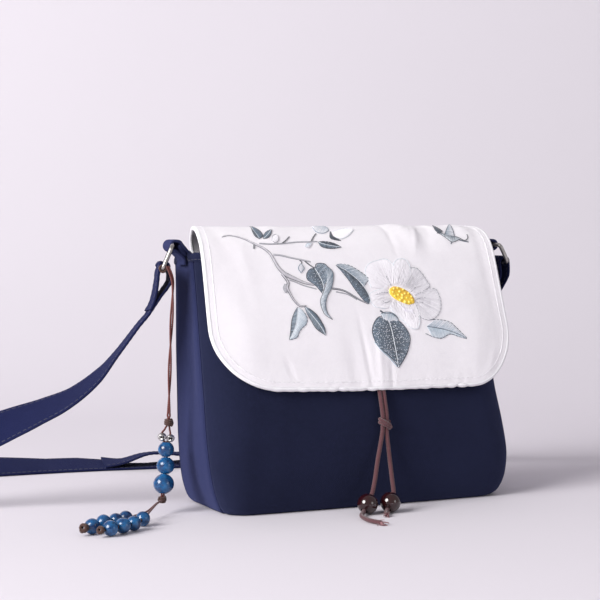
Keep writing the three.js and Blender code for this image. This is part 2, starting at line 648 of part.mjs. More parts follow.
function flapPoint(s, u) {
  const p = flapProfile(flapShare(s));
  const fromEnd = FLAP_LENGTH - s;
  let half = FLAP_HALF * p.w;
  if (fromEnd < FLAP_CORNER) {
    const d = FLAP_CORNER - fromEnd;
    const cut = FLAP_CORNER - Math.sqrt(Math.max(FLAP_CORNER * FLAP_CORNER - d * d, 0));
    half -= cut * (u < 0 ? 1 : FLAP_CORNER_RIGHT);
  }
  const x = u * half;
  const share = s / FLAP_LENGTH;
  const edge = Math.pow(Math.abs(x) / FLAP_HALF, 4);
  let out = 0;
  for (const f of FOLDS) {
    const dx = x / FLAP_HALF - f.x - f.lean * (share - f.s);
    out += f.h * FOLD_DEPTH * gauss(dx, f.sx) * gauss(share - f.s, f.ss);
  }
  const ahead = flapProfile(Math.min(flapShare(s) + 0.01, 1));
  const behind = flapProfile(Math.max(flapShare(s) - 0.01, 0));
  const ty = ahead.y - behind.y;
  const tz = ahead.z - behind.z;
  const len = Math.hypot(ty, tz);
  const fade = Math.min(1, s / FLAP_ARCH);
  const bow = share > 0.4 ? FLAP_BOW * edge * Math.min((share - 0.4) / 0.3, 1) : 0;
  const lift = Math.max(out * fade, -FLAP_CLEAR / 3) - bow;
  const low = Math.max(0, share - 0.6) / 0.4;
  const rise = FLAP_LEFT_RISE * low * Math.pow(Math.max(0, 0.17 - x / FLAP_HALF / 1.15), 1.5);
  const sway = 0.8 * Math.sin(3 * x / FLAP_HALF) * fade * (1 - share);
  return V(x, p.y + tz / len * lift + rise * 0.35, p.z - ty / len * lift + sway + rise);
}

function flapRows() {
  const rows = [];
  const over = 0.36 * FLAP_LENGTH;
  for (let i = 0; i <= 9; i += 1) rows.push(over * i / 9);
  for (let i = 1; i <= 4; i += 1) rows.push(lerp(over, FLAP_LENGTH - FLAP_CORNER, i / 4));
  for (let i = 1; i <= 5; i += 1) {
    rows.push(FLAP_LENGTH - FLAP_CORNER + FLAP_CORNER * Math.sin(rad(18 * i)));
  }
  return rows;
}

function flapGrid() {
  const across = 16;
  return flapRows().map((s) => {
    const row = [];
    for (let j = 0; j <= across; j += 1) row.push(flapPoint(s, -1 + 2 * j / across));
    return row;
  });
}

function flap() {
  const outer = flapGrid();
  const inner = offsetGrid(outer, flapSide * FLAP_THICK);
  return sheetSolid(outer, inner);
}

// Which way the grid's normals face: measured at the crest, where outward is up.
const flapSide = gridNormals(flapGrid())[5][8].z > 0 ? -1 : 1;

// Piping: a tube beside the flap's edge, from one end of the root round to the other.
function pipingPath() {
  const grid = flapGrid();
  const mid = offsetGrid(grid, flapSide * FLAP_THICK / 2);
  const normals = gridNormals(grid);
  const m = grid.length;
  const n = grid[0].length;
  const edge = [];
  for (let i = 0; i < m; i += 1) edge.push({ p: mid[i][0], n: normals[i][0] });
  for (let j = 1; j < n - 1; j += 1) edge.push({ p: mid[m - 1][j], n: normals[m - 1][j] });
  for (let i = m - 1; i >= 0; i -= 1) edge.push({ p: mid[i][n - 1], n: normals[i][n - 1] });
  const root = 0.45;
  edge[0].p.lerp(edge[1].p, root);
  edge[edge.length - 1].p.lerp(edge[edge.length - 2].p, root);
  return edge.map((e, i) => {
    const a = edge[Math.max(i - 1, 0)].p;
    const b = edge[Math.min(i + 1, edge.length - 1)].p;
    const along = V().subVectors(b, a).normalize();
    const out = V().crossVectors(along, e.n).normalize();
    const centre = V(0, e.p.y, MOUTH_Z - FLAP_DROP / 2);
    if (out.dot(V().subVectors(e.p, centre)) < 0) out.negate();
    return e.p.clone().addScaledVector(out, PIPING_R + GAP + 0.3);
  });
}

// A round tube along a smooth curve through points.
function tube(points, radius, sides, steps) {
  const curve = new THREE.CatmullRomCurve3(points, false, 'centripetal');
  const shape = new THREE.Shape();
  for (let i = 0; i <= sides; i += 1) {
    const a = i / sides * 2 * Math.PI;
    const x = radius * Math.cos(a);
    const y = radius * Math.sin(a);
    if (i === 0) shape.moveTo(x, y);
    else if (i < sides) shape.lineTo(x, y);
  }
  shape.closePath();
  return new THREE.ExtrudeGeometry(shape, { steps, bevelEnabled: false, extrudePath: curve });
}

// Strap rows round a ring's bar, from one angle to another.
function strapTurn(bar, along, from, to, count) {
  const r = RING_WIRE + STRAP_CLEAR + STRAP_T / 2;
  const rows = [];
  for (let i = 0; i < count; i += 1) {
    const a = rad(lerp(from, to, i / (count - 1)));
    rows.push({
      x: bar.x + r * Math.cos(a), y: bar.y, z: bar.z + r * Math.sin(a),
      wx: along.x, wy: along.y, wz: along.z, rest: 0,
    });
  }
  return rows;
}

// The whole strap: out to the right ring, round its bar, and back as a second layer.
function strapRows() {
  const bars = { left: LEFT_BOTTOM, right: RIGHT_BOTTOM };
  const out = STRAP.flatMap((r) => {
    if (r.turn) return strapTurn(bars[r.turn], RING_ALONG, 185, -8, 5);
    const bar = r.at ? bars[r.at] : V(0, 0, 0);
    return [{ ...r, x: r.x + bar.x, y: r.y + bar.y, z: r.z + bar.z }];
  });
  const line = new THREE.CatmullRomCurve3(points(out), false, 'centripetal');
  const back = [];
  out.forEach((r, i) => {
    if (!r.apart) return;
    const along = line.getTangent(i / (out.length - 1));
    const w = V(r.wx, r.wy, r.wz);
    w.addScaledVector(along, -w.dot(along)).normalize();
    const n = V().crossVectors(along, w).normalize().multiplyScalar(r.apart);
    const low = r.rest ? Math.abs(w.z) * STRAP_W / 2 + STRAP_T / 2 : r.z;
    const z = lerp(r.z, low, r.rest) + n.z;
    back.unshift({ x: r.x + n.x, y: r.y + n.y, z, wx: w.x, wy: w.y, wz: w.z, rest: 0 });
  });
  return [...out, ...strapTurn(RIGHT_BOTTOM, V(0, 1, 0), -10, 172, 5), ...back];
}

// A flat band along a smooth line of rows that carry the direction of the width.
function band(rows, width, thick, steps) {
  const centre = new THREE.CatmullRomCurve3(rows.map((r) => V(r.x, r.y, r.z)), false, 'centripetal');
  const widths = rows.map((r) => V(r.wx, r.wy, r.wz).normalize());
  const loops = [];
  for (let i = 0; i <= steps; i += 1) {
    const t = i / steps * (rows.length - 1);
    const k = Math.min(Math.floor(t), rows.length - 2);
    const w = widths[k].clone().lerp(widths[k + 1], t - k);
    const p = centre.getPoint(i / steps);
    const along = centre.getTangent(i / steps);
    w.addScaledVector(along, -w.dot(along)).normalize();
    const n = V().crossVectors(along, w).normalize();
    const low = Math.abs(w.z) * width / 2 + Math.abs(n.z) * thick / 2 + 0.03;
    const rest = lerp(rows[k].rest || 0, rows[k + 1].rest || 0, t - k);
    p.z = Math.max(lerp(p.z, low, rest), low);
    const corner = (a, b) => p.clone().addScaledVector(w, a * width / 2).addScaledVector(n, b * thick / 2);
    loops.push([corner(-1, -1), corner(1, -1), corner(1, 1), corner(-1, 1)]);
  }
  return solidFromLoops(loops, false);
}

// A rounded rectangular wire ring: long bars along e, short bars along g.
function wireRing(top, bottom, e) {
  const centre = top.clone().add(bottom).multiplyScalar(0.5);
  const g = V().subVectors(bottom, top).normalize();
  const a = RING_LONG / 2;
  const b = top.distanceTo(bottom) / 2;
  const r = RING_CORNER;
  const path = [];
  const corners = [[1, 1, 0], [-1, 1, 90], [-1, -1, 180], [1, -1, 270]];
  for (const [sx, sy, from] of corners) {
    for (let i = 0; i <= 3; i += 1) {
      const q = rad(from + 30 * i);
      path.push({ u: sx * (a - r) + r * Math.cos(q), v: sy * (b - r) + r * Math.sin(q) });
    }
  }
  const normal = V().crossVectors(e, g).normalize();
  const n = path.length;
  const loops = path.map((p, i) => {
    const before = path[(i + n - 1) % n];
    const after = path[(i + 1) % n];
    const tu = after.u - before.u;
    const tv = after.v - before.v;
    const len = Math.hypot(tu, tv);
    const out = e.clone().multiplyScalar(tv / len).addScaledVector(g, -tu / len);
    const at = centre.clone().addScaledVector(e, p.u).addScaledVector(g, p.v);
    const loop = [];
    for (let k = 0; k < 6; k += 1) {
      const q = k / 6 * 2 * Math.PI;
      loop.push(at.clone().addScaledVector(out, RING_WIRE * Math.cos(q))
        .addScaledVector(normal, RING_WIRE * Math.sin(q)));
    }
    return loop;
  });
  return solidFromLoops(loops, true);
}

// A drilled bead or knot: a turned profile round its bore, set along an axis.
function drilled(centre, axis, r, tall, bore, sides, rings) {
  const profile = [];
  const start = Math.acos(Math.min(bore / r, 0.95));
  for (let i = 0; i <= rings; i += 1) {
    const a = lerp(start, -start, i / rings);
    profile.push({ r: r * Math.cos(a), h: r * tall * Math.sin(a) });
  }
  const turn = new THREE.Quaternion().setFromUnitVectors(V(0, 0, 1), axis.clone().normalize());
  const loops = [];
  for (let k = 0; k < sides; k += 1) {
    const a = k / sides * 2 * Math.PI;
    loops.push(profile.map((p) => V(p.r * Math.cos(a), p.r * Math.sin(a), p.h)
      .applyQuaternion(turn).add(centre)));
  }
  return solidFromLoops(loops, true);
}

// A plain round knot at the end of a strand.
function lump(centre, r, tall, sides) {
  const loops = [];
  const rows = 4;
  for (let i = 0; i <= rows; i += 1) {
    const a = lerp(-80, 80, i / rows);
    const loop = [];
    for (let k = 0; k < sides; k += 1) {
      const q = k / sides * 2 * Math.PI;
      loop.push(V(r * Math.cos(rad(a)) * Math.cos(q), r * Math.cos(rad(a)) * Math.sin(q),
        r * tall * Math.sin(rad(a))).add(centre));
    }
    loops.push(loop);
  }
  return solidFromLoops(loops, false);
}


// Body.
addMesh('front_panel', panel(-1), 'navy');
addMesh('back_panel', panel(1), 'navy');
addMesh('gusset', gusset(), 'navy');
addMesh('mouth_hem', mouthHem(), 'navy');

// Flap and its piping.
addMesh('flap', flap(), 'pale');
addMesh('flap_piping', tube(pipingPath(), PIPING_R, 6, 52), 'white');

// Rings, tabs and strap.
const hemLeft = section(MOUTH_Z).left + (HEM_THICK - WALL) / 2;
const hemRight = section(MOUTH_Z).right + (HEM_THICK - WALL) / 2;
const LEFT_TOP = V(-hemLeft - RING_OUT_LEFT + 0.6, RING_Y, MOUTH_Z + RING_LIFT);
const RIGHT_TOP = V(hemRight + RING_OUT_RIGHT - 0.6, RING_Y, MOUTH_Z + RING_LIFT);
const LEFT_BOTTOM = LEFT_TOP.clone().add(V(-0.41, 0, -0.912).multiplyScalar(RING_DROP));
const RIGHT_BOTTOM = RIGHT_TOP.clone().add(V(0.475, 0, -0.88).multiplyScalar(RING_DROP));
const RING_ALONG = V(0.34, 0.94, 0).normalize();
addMesh('ring_left', wireRing(LEFT_TOP, LEFT_BOTTOM, RING_ALONG), 'metal');
addMesh('ring_right', wireRing(RIGHT_TOP, RIGHT_BOTTOM, V(0, 1, 0)), 'metal');

// A tab: a loop of tape from the hem's top, over the ring's bar, back to the hem's outer face.
function tab(side, bar, hemX, along) {
  const r = RING_WIRE + TAB_CLEAR + TAB_T / 2;
  const rows = [];
  const square = V(0, 1, 0);
  const push = (x, z, turn) => {
    const w = square.clone().lerp(along, turn);
    rows.push({ x: side * x, y: RING_Y, z, wx: w.x, wy: w.y, wz: w.z });
  };
  const bx = side * bar.x;
  const seat = hemX + GAP + TAB_T / 2;
  push(hemX - 1.6, bar.z - 1.6, 0);
  push(hemX + 0.9, bar.z + 0.6, 0.2);
  push(lerp(hemX, bx, 0.55), bar.z + 2.8, 1);
  for (const a of [100, 60, 20, -20, -60, -95]) {
    push(bx + r * Math.cos(rad(a)), bar.z + r * Math.sin(rad(a)), 1);
  }
  push(lerp(bx, hemX, 0.3), bar.z - 4.8, 1);
  push(seat + 0.3, bar.z - 8.6, 0.2);
  push(seat, bar.z - 12, 0);
  return band(rows, TAB_W, TAB_T, 22);
}
addMesh('tab_left', tab(-1, LEFT_TOP, hemLeft, RING_ALONG), 'navy');
addMesh('tab_right', tab(1, RIGHT_TOP, hemRight, V(0, 1, 0)), 'navy');
addMesh('strap', band(strapRows(), STRAP_W, STRAP_T, 124), 'navy');

// Direction of a cord's curve where it passes nearest to a place.
function axisNear(curve, at) {
  let best = 0;
  let near = Infinity;
  for (let i = 0; i <= 600; i += 1) {
    const d = curve.getPoint(i / 600).distanceTo(at);
    if (d < near) {
      near = d;
      best = i / 600;
    }
  }
  return curve.getTangent(best);
}
const curveOf = (list) => new THREE.CatmullRomCurve3(list, false, 'centripetal');

// Closure: cords, wrapped knot and beads.
function knotBody() {
  const loops = [];
  const profile = [
    [3.95, 3.1], [4.6, 3.4], [5.1, 2.2], [4.9, 0.9], [5.2, -0.6], [5, -2.2], [4.5, -3.4], [3.95, -3.1],
  ];
  for (let k = 0; k < 14; k += 1) {
    const a = k / 14 * 2 * Math.PI;
    loops.push(profile.map(([r, h]) => (
      V(KNOT.x + r * Math.cos(a), KNOT.y + (r - 1.6) * Math.sin(a), KNOT.z + h))));
  }
  return solidFromLoops(loops, true);
}
addMesh('closure_knot', knotBody(), 'cord');
for (const [side, rows, steps] of [['left', CLOSURE_LEFT, 32], ['right', CLOSURE_RIGHT, 26]]) {
  const list = points(rows);
  const at = list[CLOSURE_BEAD_ROW];
  const axis = axisNear(curveOf(list), at);
  addMesh(`closure_cord_${side}`, tube(list, CORD_R, 8, steps), 'cord');
  addMesh(`closure_bead_${side}`, drilled(at, axis, CLOSURE_BEAD_R, 1, CORD_R + CORD_CLEAR, 14, 6), 'maroon');
}

// Charm: hitch, strands, knots, bells and beads.
const ringDown = V().subVectors(LEFT_BOTTOM, LEFT_TOP).normalize();
const hitchAt = LEFT_BOTTOM.clone().addScaledVector(RING_ALONG, -RING_LONG / 2);
hitchAt.addScaledVector(ringDown, -4.6);
addMesh('charm_hitch', drilled(hitchAt, ringDown, 2.5, 0.95, RING_WIRE + GAP, 12, 4), 'reddish');
const hung = (r) => V(LEFT_BOTTOM.x + r.x, r.y, r.z);
const strand = (side, tail) => [
  ...CHARM_CORE.map((r) => hung(r).add(V(side * r.split * STRAND_SPLIT, 0, 0))),
  ...tail.map(hung),
];
const strandA = strand(-1, TAIL_A);
const strandB = strand(1, TAIL_B);
addMesh('charm_strand_a', tube(strandA, STRAND_R, 8, 50), 'brown');
addMesh('charm_strand_b', tube(strandB, STRAND_R, 8, 50), 'brown');
const strandBore = STRAND_SPLIT + STRAND_R + STRAND_CLEAR;
const core = curveOf(CHARM_CORE.map(hung));
for (const k of CHARM_PIECES) {
  const at = hung(CHARM_CORE[k.row]);
  addMesh(k.name, drilled(at, axisNear(core, at), k.r, k.tall, strandBore + k.slack, 12, 6), k.mat);
}
for (const k of BELLS) {
  const bell = drilled(hung(k), V(0, 0, 1), k.r, k.tall, STRAND_R + STRAND_CLEAR + 0.3, 10, 4);
  addMesh(k.name, bell, 'silver');
}
for (const k of TAIL_PIECES) {
  const at = hung((k.tail === 'A' ? TAIL_A : TAIL_B)[k.row]);
  const axis = axisNear(curveOf(k.tail === 'A' ? strandA : strandB), at);
  addMesh(k.name, drilled(at, axis, TAIL_BEAD_R, 0.95, STRAND_R + STRAND_CLEAR + 0.33, 10, 4), 'glaze');
}
for (const k of END_KNOTS) addMesh(k.name, lump(hung(k), k.r, 1, 8), 'reddish');

export default group;
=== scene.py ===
# %% [markdown]
# # An embroidered cloth shoulder bag
# The object is a small navy bag that stands on its flat base. A white flap, edged with piping and
# embroidered with a flowering branch and a swallow, falls over its front. Two corded beads close
# it, a bead charm hangs from the left ring, and a webbing strap trails away behind.
# The measured solids are loaded first. Every visible piece is then made in their frame, in metres,
# and stands for the solid that it replaces.

# %% Load the measured frame
import bpy
import math
import numpy as np
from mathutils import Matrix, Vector


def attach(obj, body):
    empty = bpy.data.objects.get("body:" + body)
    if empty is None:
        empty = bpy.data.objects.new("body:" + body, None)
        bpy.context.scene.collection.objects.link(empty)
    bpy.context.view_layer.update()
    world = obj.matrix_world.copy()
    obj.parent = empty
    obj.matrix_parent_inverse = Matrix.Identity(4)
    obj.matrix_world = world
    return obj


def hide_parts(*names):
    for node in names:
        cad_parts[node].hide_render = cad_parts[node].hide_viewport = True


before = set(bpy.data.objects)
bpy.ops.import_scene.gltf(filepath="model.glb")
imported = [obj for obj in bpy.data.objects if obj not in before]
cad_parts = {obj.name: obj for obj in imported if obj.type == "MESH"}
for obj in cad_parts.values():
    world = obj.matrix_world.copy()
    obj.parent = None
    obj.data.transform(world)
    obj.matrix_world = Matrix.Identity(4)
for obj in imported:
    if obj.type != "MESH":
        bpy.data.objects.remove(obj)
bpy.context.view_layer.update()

MM = 0.001

# %% [markdown]
# ## The camera
# The picture is taken from a little to the left of the front and just above the flap, with a long
# lens, so the upright edges stay parallel. The camera comes first, because the cords are tested
# against what it sees.

# %% Camera
def shown(name, data):
    """A new object in the scene, at the origin."""
    obj = bpy.data.objects.new(name, data)
    bpy.context.scene.collection.objects.link(obj)
    return obj


view = bpy.data.cameras.new("view")
view.sensor_width = 36.0
view.lens = 94.4
camera = shown("view", view)
camera.location = (-0.466, -0.932, 0.1759)
camera.rotation_euler = (math.radians(87.55), 0.0, math.radians(-25.0))
bpy.context.scene.camera = camera
print("camera distance from the base, m:", round(camera.location.length, 3))

# %% [markdown]
# ## Small helpers for shapes
# A piece is a mesh made from rows of points. Working in millimetres keeps the numbers easy to
# read, and each mesh is turned into metres when it is made. A smooth line through a few chosen
# points is a centripetal Catmull-Rom curve, which passes through every point without a loop.

# %% Curves through points
def vec(*v):
    return np.array(v, float)


def unit(v):
    v = np.asarray(v, float)
    return v / np.maximum(np.linalg.norm(v, axis=-1, keepdims=True), 1e-12)


def curve(points, steps):
    """steps + 1 places on the centripetal curve through points, evenly spread over its rows."""
    p = np.asarray(points, float)
    p = np.vstack([2 * p[0] - p[1], p, 2 * p[-1] - p[-2]])
    out = []
    for t in np.linspace(0, len(p) - 3, steps + 1):
        i = min(int(t), len(p) - 4)
        w = t - i
        a, b, c, d = p[i:i + 4]
        k = [max(np.linalg.norm(v) ** 0.5, 1e-4) for v in (b - a, c - b, d - c)]
        m0 = ((b - a) / k[0] - (c - a) / (k[0] + k[1]) + (c - b) / k[1]) * k[1]
        m1 = ((c - b) / k[1] - (d - b) / (k[1] + k[2]) + (d - c) / k[2]) * k[1]
        out.append((2 * w**3 - 3 * w**2 + 1) * b + (w**3 - 2 * w**2 + w) * m0
                   + (3 * w**2 - 2 * w**3) * c + (w**3 - w**2) * m1)
    return np.array(out)


def measured(points):
    """How far along a line each of its points lies."""
    return np.concatenate([[0], np.cumsum(np.linalg.norm(np.diff(points, axis=0), axis=1))])


def evenly(points, step):
    """The same line with points a step apart."""
    p = np.asarray(points, float)
    s = measured(p)
    at = np.linspace(0, s[-1], max(int(round(s[-1] / step)), 2) + 1)
    return np.stack([np.interp(at, s, p[:, k]) for k in range(p.shape[1])], 1)


def length_of(points):
    return float(np.linalg.norm(np.diff(points, axis=0), axis=1).sum())


def smooth(xs, ys, at):
    """A smooth reading of a table: y at each place of x."""
    xs, ys, at = (np.asarray(v, float) for v in (xs, ys, at))
    h = np.diff(xs)
    slope = np.empty(len(xs))
    slope[0], slope[-1] = (ys[1] - ys[0]) / h[0], (ys[-1] - ys[-2]) / h[-1]
    slope[1:-1] = (ys[2:] - ys[:-2]) / (xs[2:] - xs[:-2])
    i = np.clip(np.searchsorted(xs, at, side="right") - 1, 0, len(xs) - 2)
    t = np.clip((at - xs[i]) / h[i], 0, 1)
    return ((2 * t**3 - 3 * t**2 + 1) * ys[i] + (t**3 - 2 * t**2 + t) * slope[i] * h[i]
            + (3 * t**2 - 2 * t**3) * ys[i + 1] + (t**3 - t**2) * slope[i + 1] * h[i])


def gauss(d, s):
    return np.exp(-d * d / (2 * s * s))


# %% Meshes from grids
def grid_quads(rows, cols, wrap_rows=False, wrap_cols=False):
    k = np.arange(rows * cols).reshape(rows, cols)
    if wrap_rows:
        k = np.vstack([k, k[:1]])
    if wrap_cols:
        k = np.hstack([k, k[:, :1]])
    return np.stack([k[:-1, :-1], k[:-1, 1:], k[1:, 1:], k[1:, :-1]], -1).reshape(-1, 4)


def outward(verts, faces):
    """The faces, turned over if they enclose a negative volume."""
    total = 0.0
    for f in faces:
        f = np.asarray(f)
        for i in range(1, f.shape[1] - 1):
            a, b, c = verts[f[:, 0]], verts[f[:, i]], verts[f[:, i + 1]]
            total += float((a * np.cross(b, c)).sum())
    return [np.asarray(f)[:, ::-1] for f in faces] if total < 0 else faces


def make_piece(name, verts, faces, looks, uv=None, look_of=None, sharp=40):
    """One object from points in mm and lists of faces, with its looks and an optional UV map."""
    verts = np.asarray(verts, float).reshape(-1, 3)
    faces = outward(verts, [np.asarray(f, int) for f in faces])
    flat = [tuple(r) for f in faces for r in f.tolist()]
    mesh = bpy.data.meshes.new(name)
    mesh.from_pydata((verts * MM).tolist(), [], flat)
    for look in looks if isinstance(looks, (list, tuple)) else [looks]:
        mesh.materials.append(look)
    if look_of is not None:
        mesh.polygons.foreach_set("material_index", np.asarray(look_of, np.int32))
    if uv is not None:
        layer = mesh.uv_layers.new(name="cloth")
        which = np.empty(len(mesh.loops), np.int32)
        mesh.loops.foreach_get("vertex_index", which)
        layer.data.foreach_set("uv", (np.asarray(uv, float).reshape(-1, 2)[which] * MM).ravel())
    mesh.polygons.foreach_set("use_smooth", np.ones(len(mesh.polygons), bool))
    mesh.update()
    mesh.set_sharp_from_angle(angle=math.radians(sharp))
    return shown(name, mesh)


def settle(obj, slot=None, *nodes):
    """The piece rides on the part's one body and stands for its solids. The slot is not used."""
    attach(obj, "root")
    if nodes:
        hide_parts(*nodes)
    tris = sum(len(p.vertices) - 2 for p in obj.data.polygons)
    print(f"{obj.name}: {tris} triangles")
    return obj


def shell(name, outer, inner, looks, uv=None):
    """A sheet with real thickness: outer face, inner face and the rim between them."""
    m, n = outer.shape[:2]
    k = np.arange(m * n).reshape(m, n)
    face = grid_quads(m, n)
    ring = np.concatenate([k[0, :], k[1:, -1], k[-1, -2::-1], k[-2:0:-1, 0]])
    after = np.roll(ring, -1)
    rim = np.stack([after, ring, ring + m * n, after + m * n], -1)
    verts = np.concatenate([outer.reshape(-1, 3), inner.reshape(-1, 3)])
    look_of = np.concatenate([np.zeros(len(face)), np.ones(len(face)), np.zeros(len(rim))])
    both = None if uv is None else np.concatenate([uv.reshape(-1, 2)] * 2)
    return make_piece(name, verts, [face, face[:, ::-1] + m * n, rim], looks, both, look_of)


def travelling_frame(points, up=(0, 0, 1)):
    """A side and an upper direction at each point, carried along without twist."""
    p = np.asarray(points, float)
    along = unit(np.gradient(p, axis=0))
    side = unit(np.cross(along[0], up)) if abs(np.dot(along[0], up)) < 0.95 else vec(1, 0, 0)
    sides = []
    for t in along:
        side = unit(side - t * np.dot(side, t))
        sides.append(side)
    sides = np.array(sides)
    return along, sides, np.cross(along, sides)


def rope(points, radius, sides=16, plies=0, lay=6.0, depth=0.25):
    """Points, faces and UV of a round line. With plies it has the groove of a laid cord."""
    p = np.asarray(points, float)
    along, sx, sy = travelling_frame(p)
    s = measured(p)
    a = np.linspace(0, 2 * np.pi, sides, endpoint=False)
    r = np.full((len(p), sides), float(radius))
    if plies:
        wave = np.abs(np.cos(plies * (a[None, :] - 2 * np.pi * s[:, None] / lay) / 2))
        r *= 1 - depth + depth * wave**0.7
    ring = (p[:, None] + r[..., None] * (np.cos(a)[None, :, None] * sx[:, None]
                                         + np.sin(a)[None, :, None] * sy[:, None]))
    uv = np.stack(np.broadcast_arrays(s[:, None], a[None, :] * radius), -1).reshape(-1, 2)
    k, n, m = np.arange(sides), len(p) * sides, (len(p) - 1) * sides
    nxt = (k + 1) % sides
    faces = [grid_quads(len(p), sides, wrap_cols=True), np.stack([np.full(sides, n), nxt, k], -1),
             np.stack([np.full(sides, n + 1), m + k, m + nxt], -1)]
    return np.vstack([ring.reshape(-1, 3), p[:1], p[-1:]]), faces, np.vstack([uv, [0, 0], [s[-1], 0]])


def joined(parts):
    """Several (points, faces, uv) as one."""
    verts, faces, uvs, n = [], [], [], 0
    for v, f, uv in parts:
        verts.append(v)
        uvs.append(uv)
        faces += [g + n for g in f]
        n += len(v)
    return np.vstack(verts), faces, np.vstack(uvs)


# %% [markdown]
# ## Materials as short sums
# Cloth, thread, metal and glaze are made from nodes. One small class wraps a socket, so that a
# pattern can be written as an ordinary sum, and one method adds any other node. Values that are
# the same all over a surface are set on the shader itself.

# %% A maker of materials
class Wire:
    """A node's output that can be added, multiplied and compared."""

    def __init__(self, look, socket):
        self.look, self.socket = look, socket

    def _do(self, operation, a, b=None):
        return self.look.maths(operation, a, b)

    def __add__(self, o): return self._do("ADD", self, o)
    def __radd__(self, o): return self._do("ADD", o, self)
    def __sub__(self, o): return self._do("SUBTRACT", self, o)
    def __rsub__(self, o): return self._do("SUBTRACT", o, self)
    def __mul__(self, o): return self._do("MULTIPLY", self, o)
    def __rmul__(self, o): return self._do("MULTIPLY", o, self)
    def __abs__(self): return self._do("ABSOLUTE", self)
    def over(self, o): return self._do("GREATER_THAN", self, o)
    def sine(self): return self._do("SINE", self)
    def floor(self): return self._do("FLOOR", self)
    def modulo(self, o): return self._do("FLOORED_MODULO", self, o)


class Look:
    """One material with its shader, and short ways to add nodes to it."""

    def __init__(self, name, **constants):
        self.material = bpy.data.materials.new(name)
        self.material.use_nodes = True
        self.tree = self.material.node_tree
        self.shader = next(n for n in self.tree.nodes if n.type == "BSDF_PRINCIPLED")
        for key, value in constants.items():
            self.shader.inputs[key.replace("_", " ").title().replace("Ior", "IOR")].default_value = value

    def add(self, kind, settings=None, **sockets):
        node = self.tree.nodes.new(kind)
        for key, value in (settings or {}).items():
            setattr(node, key, value)
        for key, value in sockets.items():
            self.feed(node, key.replace("_", " "), value)
        return node

    def feed(self, node, key, value):
        match = [s for s in node.inputs if s.enabled and s.name.lower() == key.lower()]
        socket = match[0] if match else node.inputs[int(key)]
        if isinstance(value, Wire):
            self.tree.links.new(value.socket, socket)
        else:
            socket.default_value = value

    def maths(self, operation, a, b=None):
        node = self.tree.nodes.new("ShaderNodeMath")
        node.operation = operation
        for i, v in enumerate((a, b)):
            if isinstance(v, Wire):
                self.tree.links.new(v.socket, node.inputs[i])
            elif v is not None:
                node.inputs[i].default_value = v
        return Wire(self, node.outputs[0])

    def out(self, node, name):
        return Wire(self, next(s for s in node.outputs if s.enabled and s.name == name))

    def uv(self):
        both = self.add("ShaderNodeSeparateXYZ",
                        Vector=self.out(self.add("ShaderNodeUVMap", {"uv_map": "cloth"}), "UV"))
        return self.out(both, "X"), self.out(both, "Y")

    def place(self):
        return self.out(self.add("ShaderNodeTexCoord"), "Object")

    def noise(self, scale, detail=2.0, rough=0.5, at=None):
        node = self.add("ShaderNodeTexNoise", Vector=at or self.place(), Scale=scale,
                        Detail=detail, Roughness=rough)
        return self.out(node, "Fac")

    def blend(self, factor, a, b):
        node = self.add("ShaderNodeMix", {"data_type": "RGBA"}, Factor=factor, A=a, B=b)
        return self.out(node, "Result")

    def colour(self, wire):
        self.feed(self.shader, "Base Color", wire)

    def roughness(self, wire):
        self.feed(self.shader, "Roughness", wire)

    def bump(self, height, distance, strength=1.0):
        node = self.add("ShaderNodeBump", Strength=strength, Distance=distance, Height=height)
        self.feed(self.shader, "Normal", self.out(node, "Normal"))


def rgb(r, g, b):
    """A colour given as on a screen, 0 to 255, in the renderer's own terms."""
    lin = [(v / 255 / 12.92) if v <= 10 else ((v / 255 + 0.055) / 1.055) ** 2.4 for v in (r, g, b)]
    return (*lin, 1.0)


# %% [markdown]
# ## Woven cloth
# The bag is plain-woven cotton: warp threads run one way and weft threads pass over and under
# them. The weave is worked out from the piece's own UV map, which is in real lengths, so that the
# threads keep their size on every piece. A slow noise shifts the dye a little, and a faint sheen
# stands for the fuzz.

# %% The woven look
def woven(name, base, light, pitch=0.62, lift=0.00016, sheen=0.25, rough=0.9, slub=0.35, gloss=0.25,
          fuzz=(1, 1, 1)):
    look = Look(name, roughness=rough, sheen_weight=sheen, sheen_roughness=0.5, sheen_tint=(*fuzz, 1),
                specular_ior_level=gloss)
    u, v = look.uv()
    k = math.pi / (pitch * MM)
    warp, weft = abs((u * k).sine()), abs((v * k).sine())
    over = ((u * (k / math.pi)).floor() + (v * (k / math.pi)).floor()).modulo(2.0)
    thread = over * warp + (1 - over) * weft
    slow, fine = look.noise(22.0, 3.0), look.noise(420.0, 2.0, 0.6)
    mix = thread * slub + slow * 0.45 + fine * 0.3
    look.colour(look.blend(mix, base, light))
    look.bump(thread * 0.8 + fine * 0.5, lift)
    return look.material


NAVY_FUZZ = (0.3, 0.34, 0.75)
# One navy cloth in two copies. The sides' copy is lighter, as painted light from the key lamp, and the front, back
# and hem keep the darker copy as painted shade.
navy = woven("navy_cotton", rgb(15, 18, 32), rgb(36, 40, 65), sheen=0.2, gloss=0.05, fuzz=NAVY_FUZZ)
lit_side_navy = woven("navy_lit_side", rgb(23, 27, 49), rgb(52, 57, 96), sheen=0.2, gloss=0.05, fuzz=NAVY_FUZZ)
white_cotton = woven("white_cotton", rgb(235, 231, 236), rgb(250, 247, 251), 0.5, 0.0001, 0.05)
lining = woven("lining", rgb(220, 217, 224), rgb(246, 243, 248), 0.5, 0.0001, 0.1)
webbing = woven("navy_strap", rgb(15, 18, 42), rgb(36, 41, 82), 0.85, 0.0003, 0.1, gloss=0.06,
                fuzz=NAVY_FUZZ)
piping_cotton = woven("white_piping", rgb(236, 234, 240), rgb(252, 251, 253), 0.45, 0.00012, 0.1)
print("woven looks made")

# %% [markdown]
# ## Sizes of the bag
# The same few sizes and tables of shares that shape the solids are repeated here. A section is read
# at any height: its half widths, its depths and the radii of its corners.

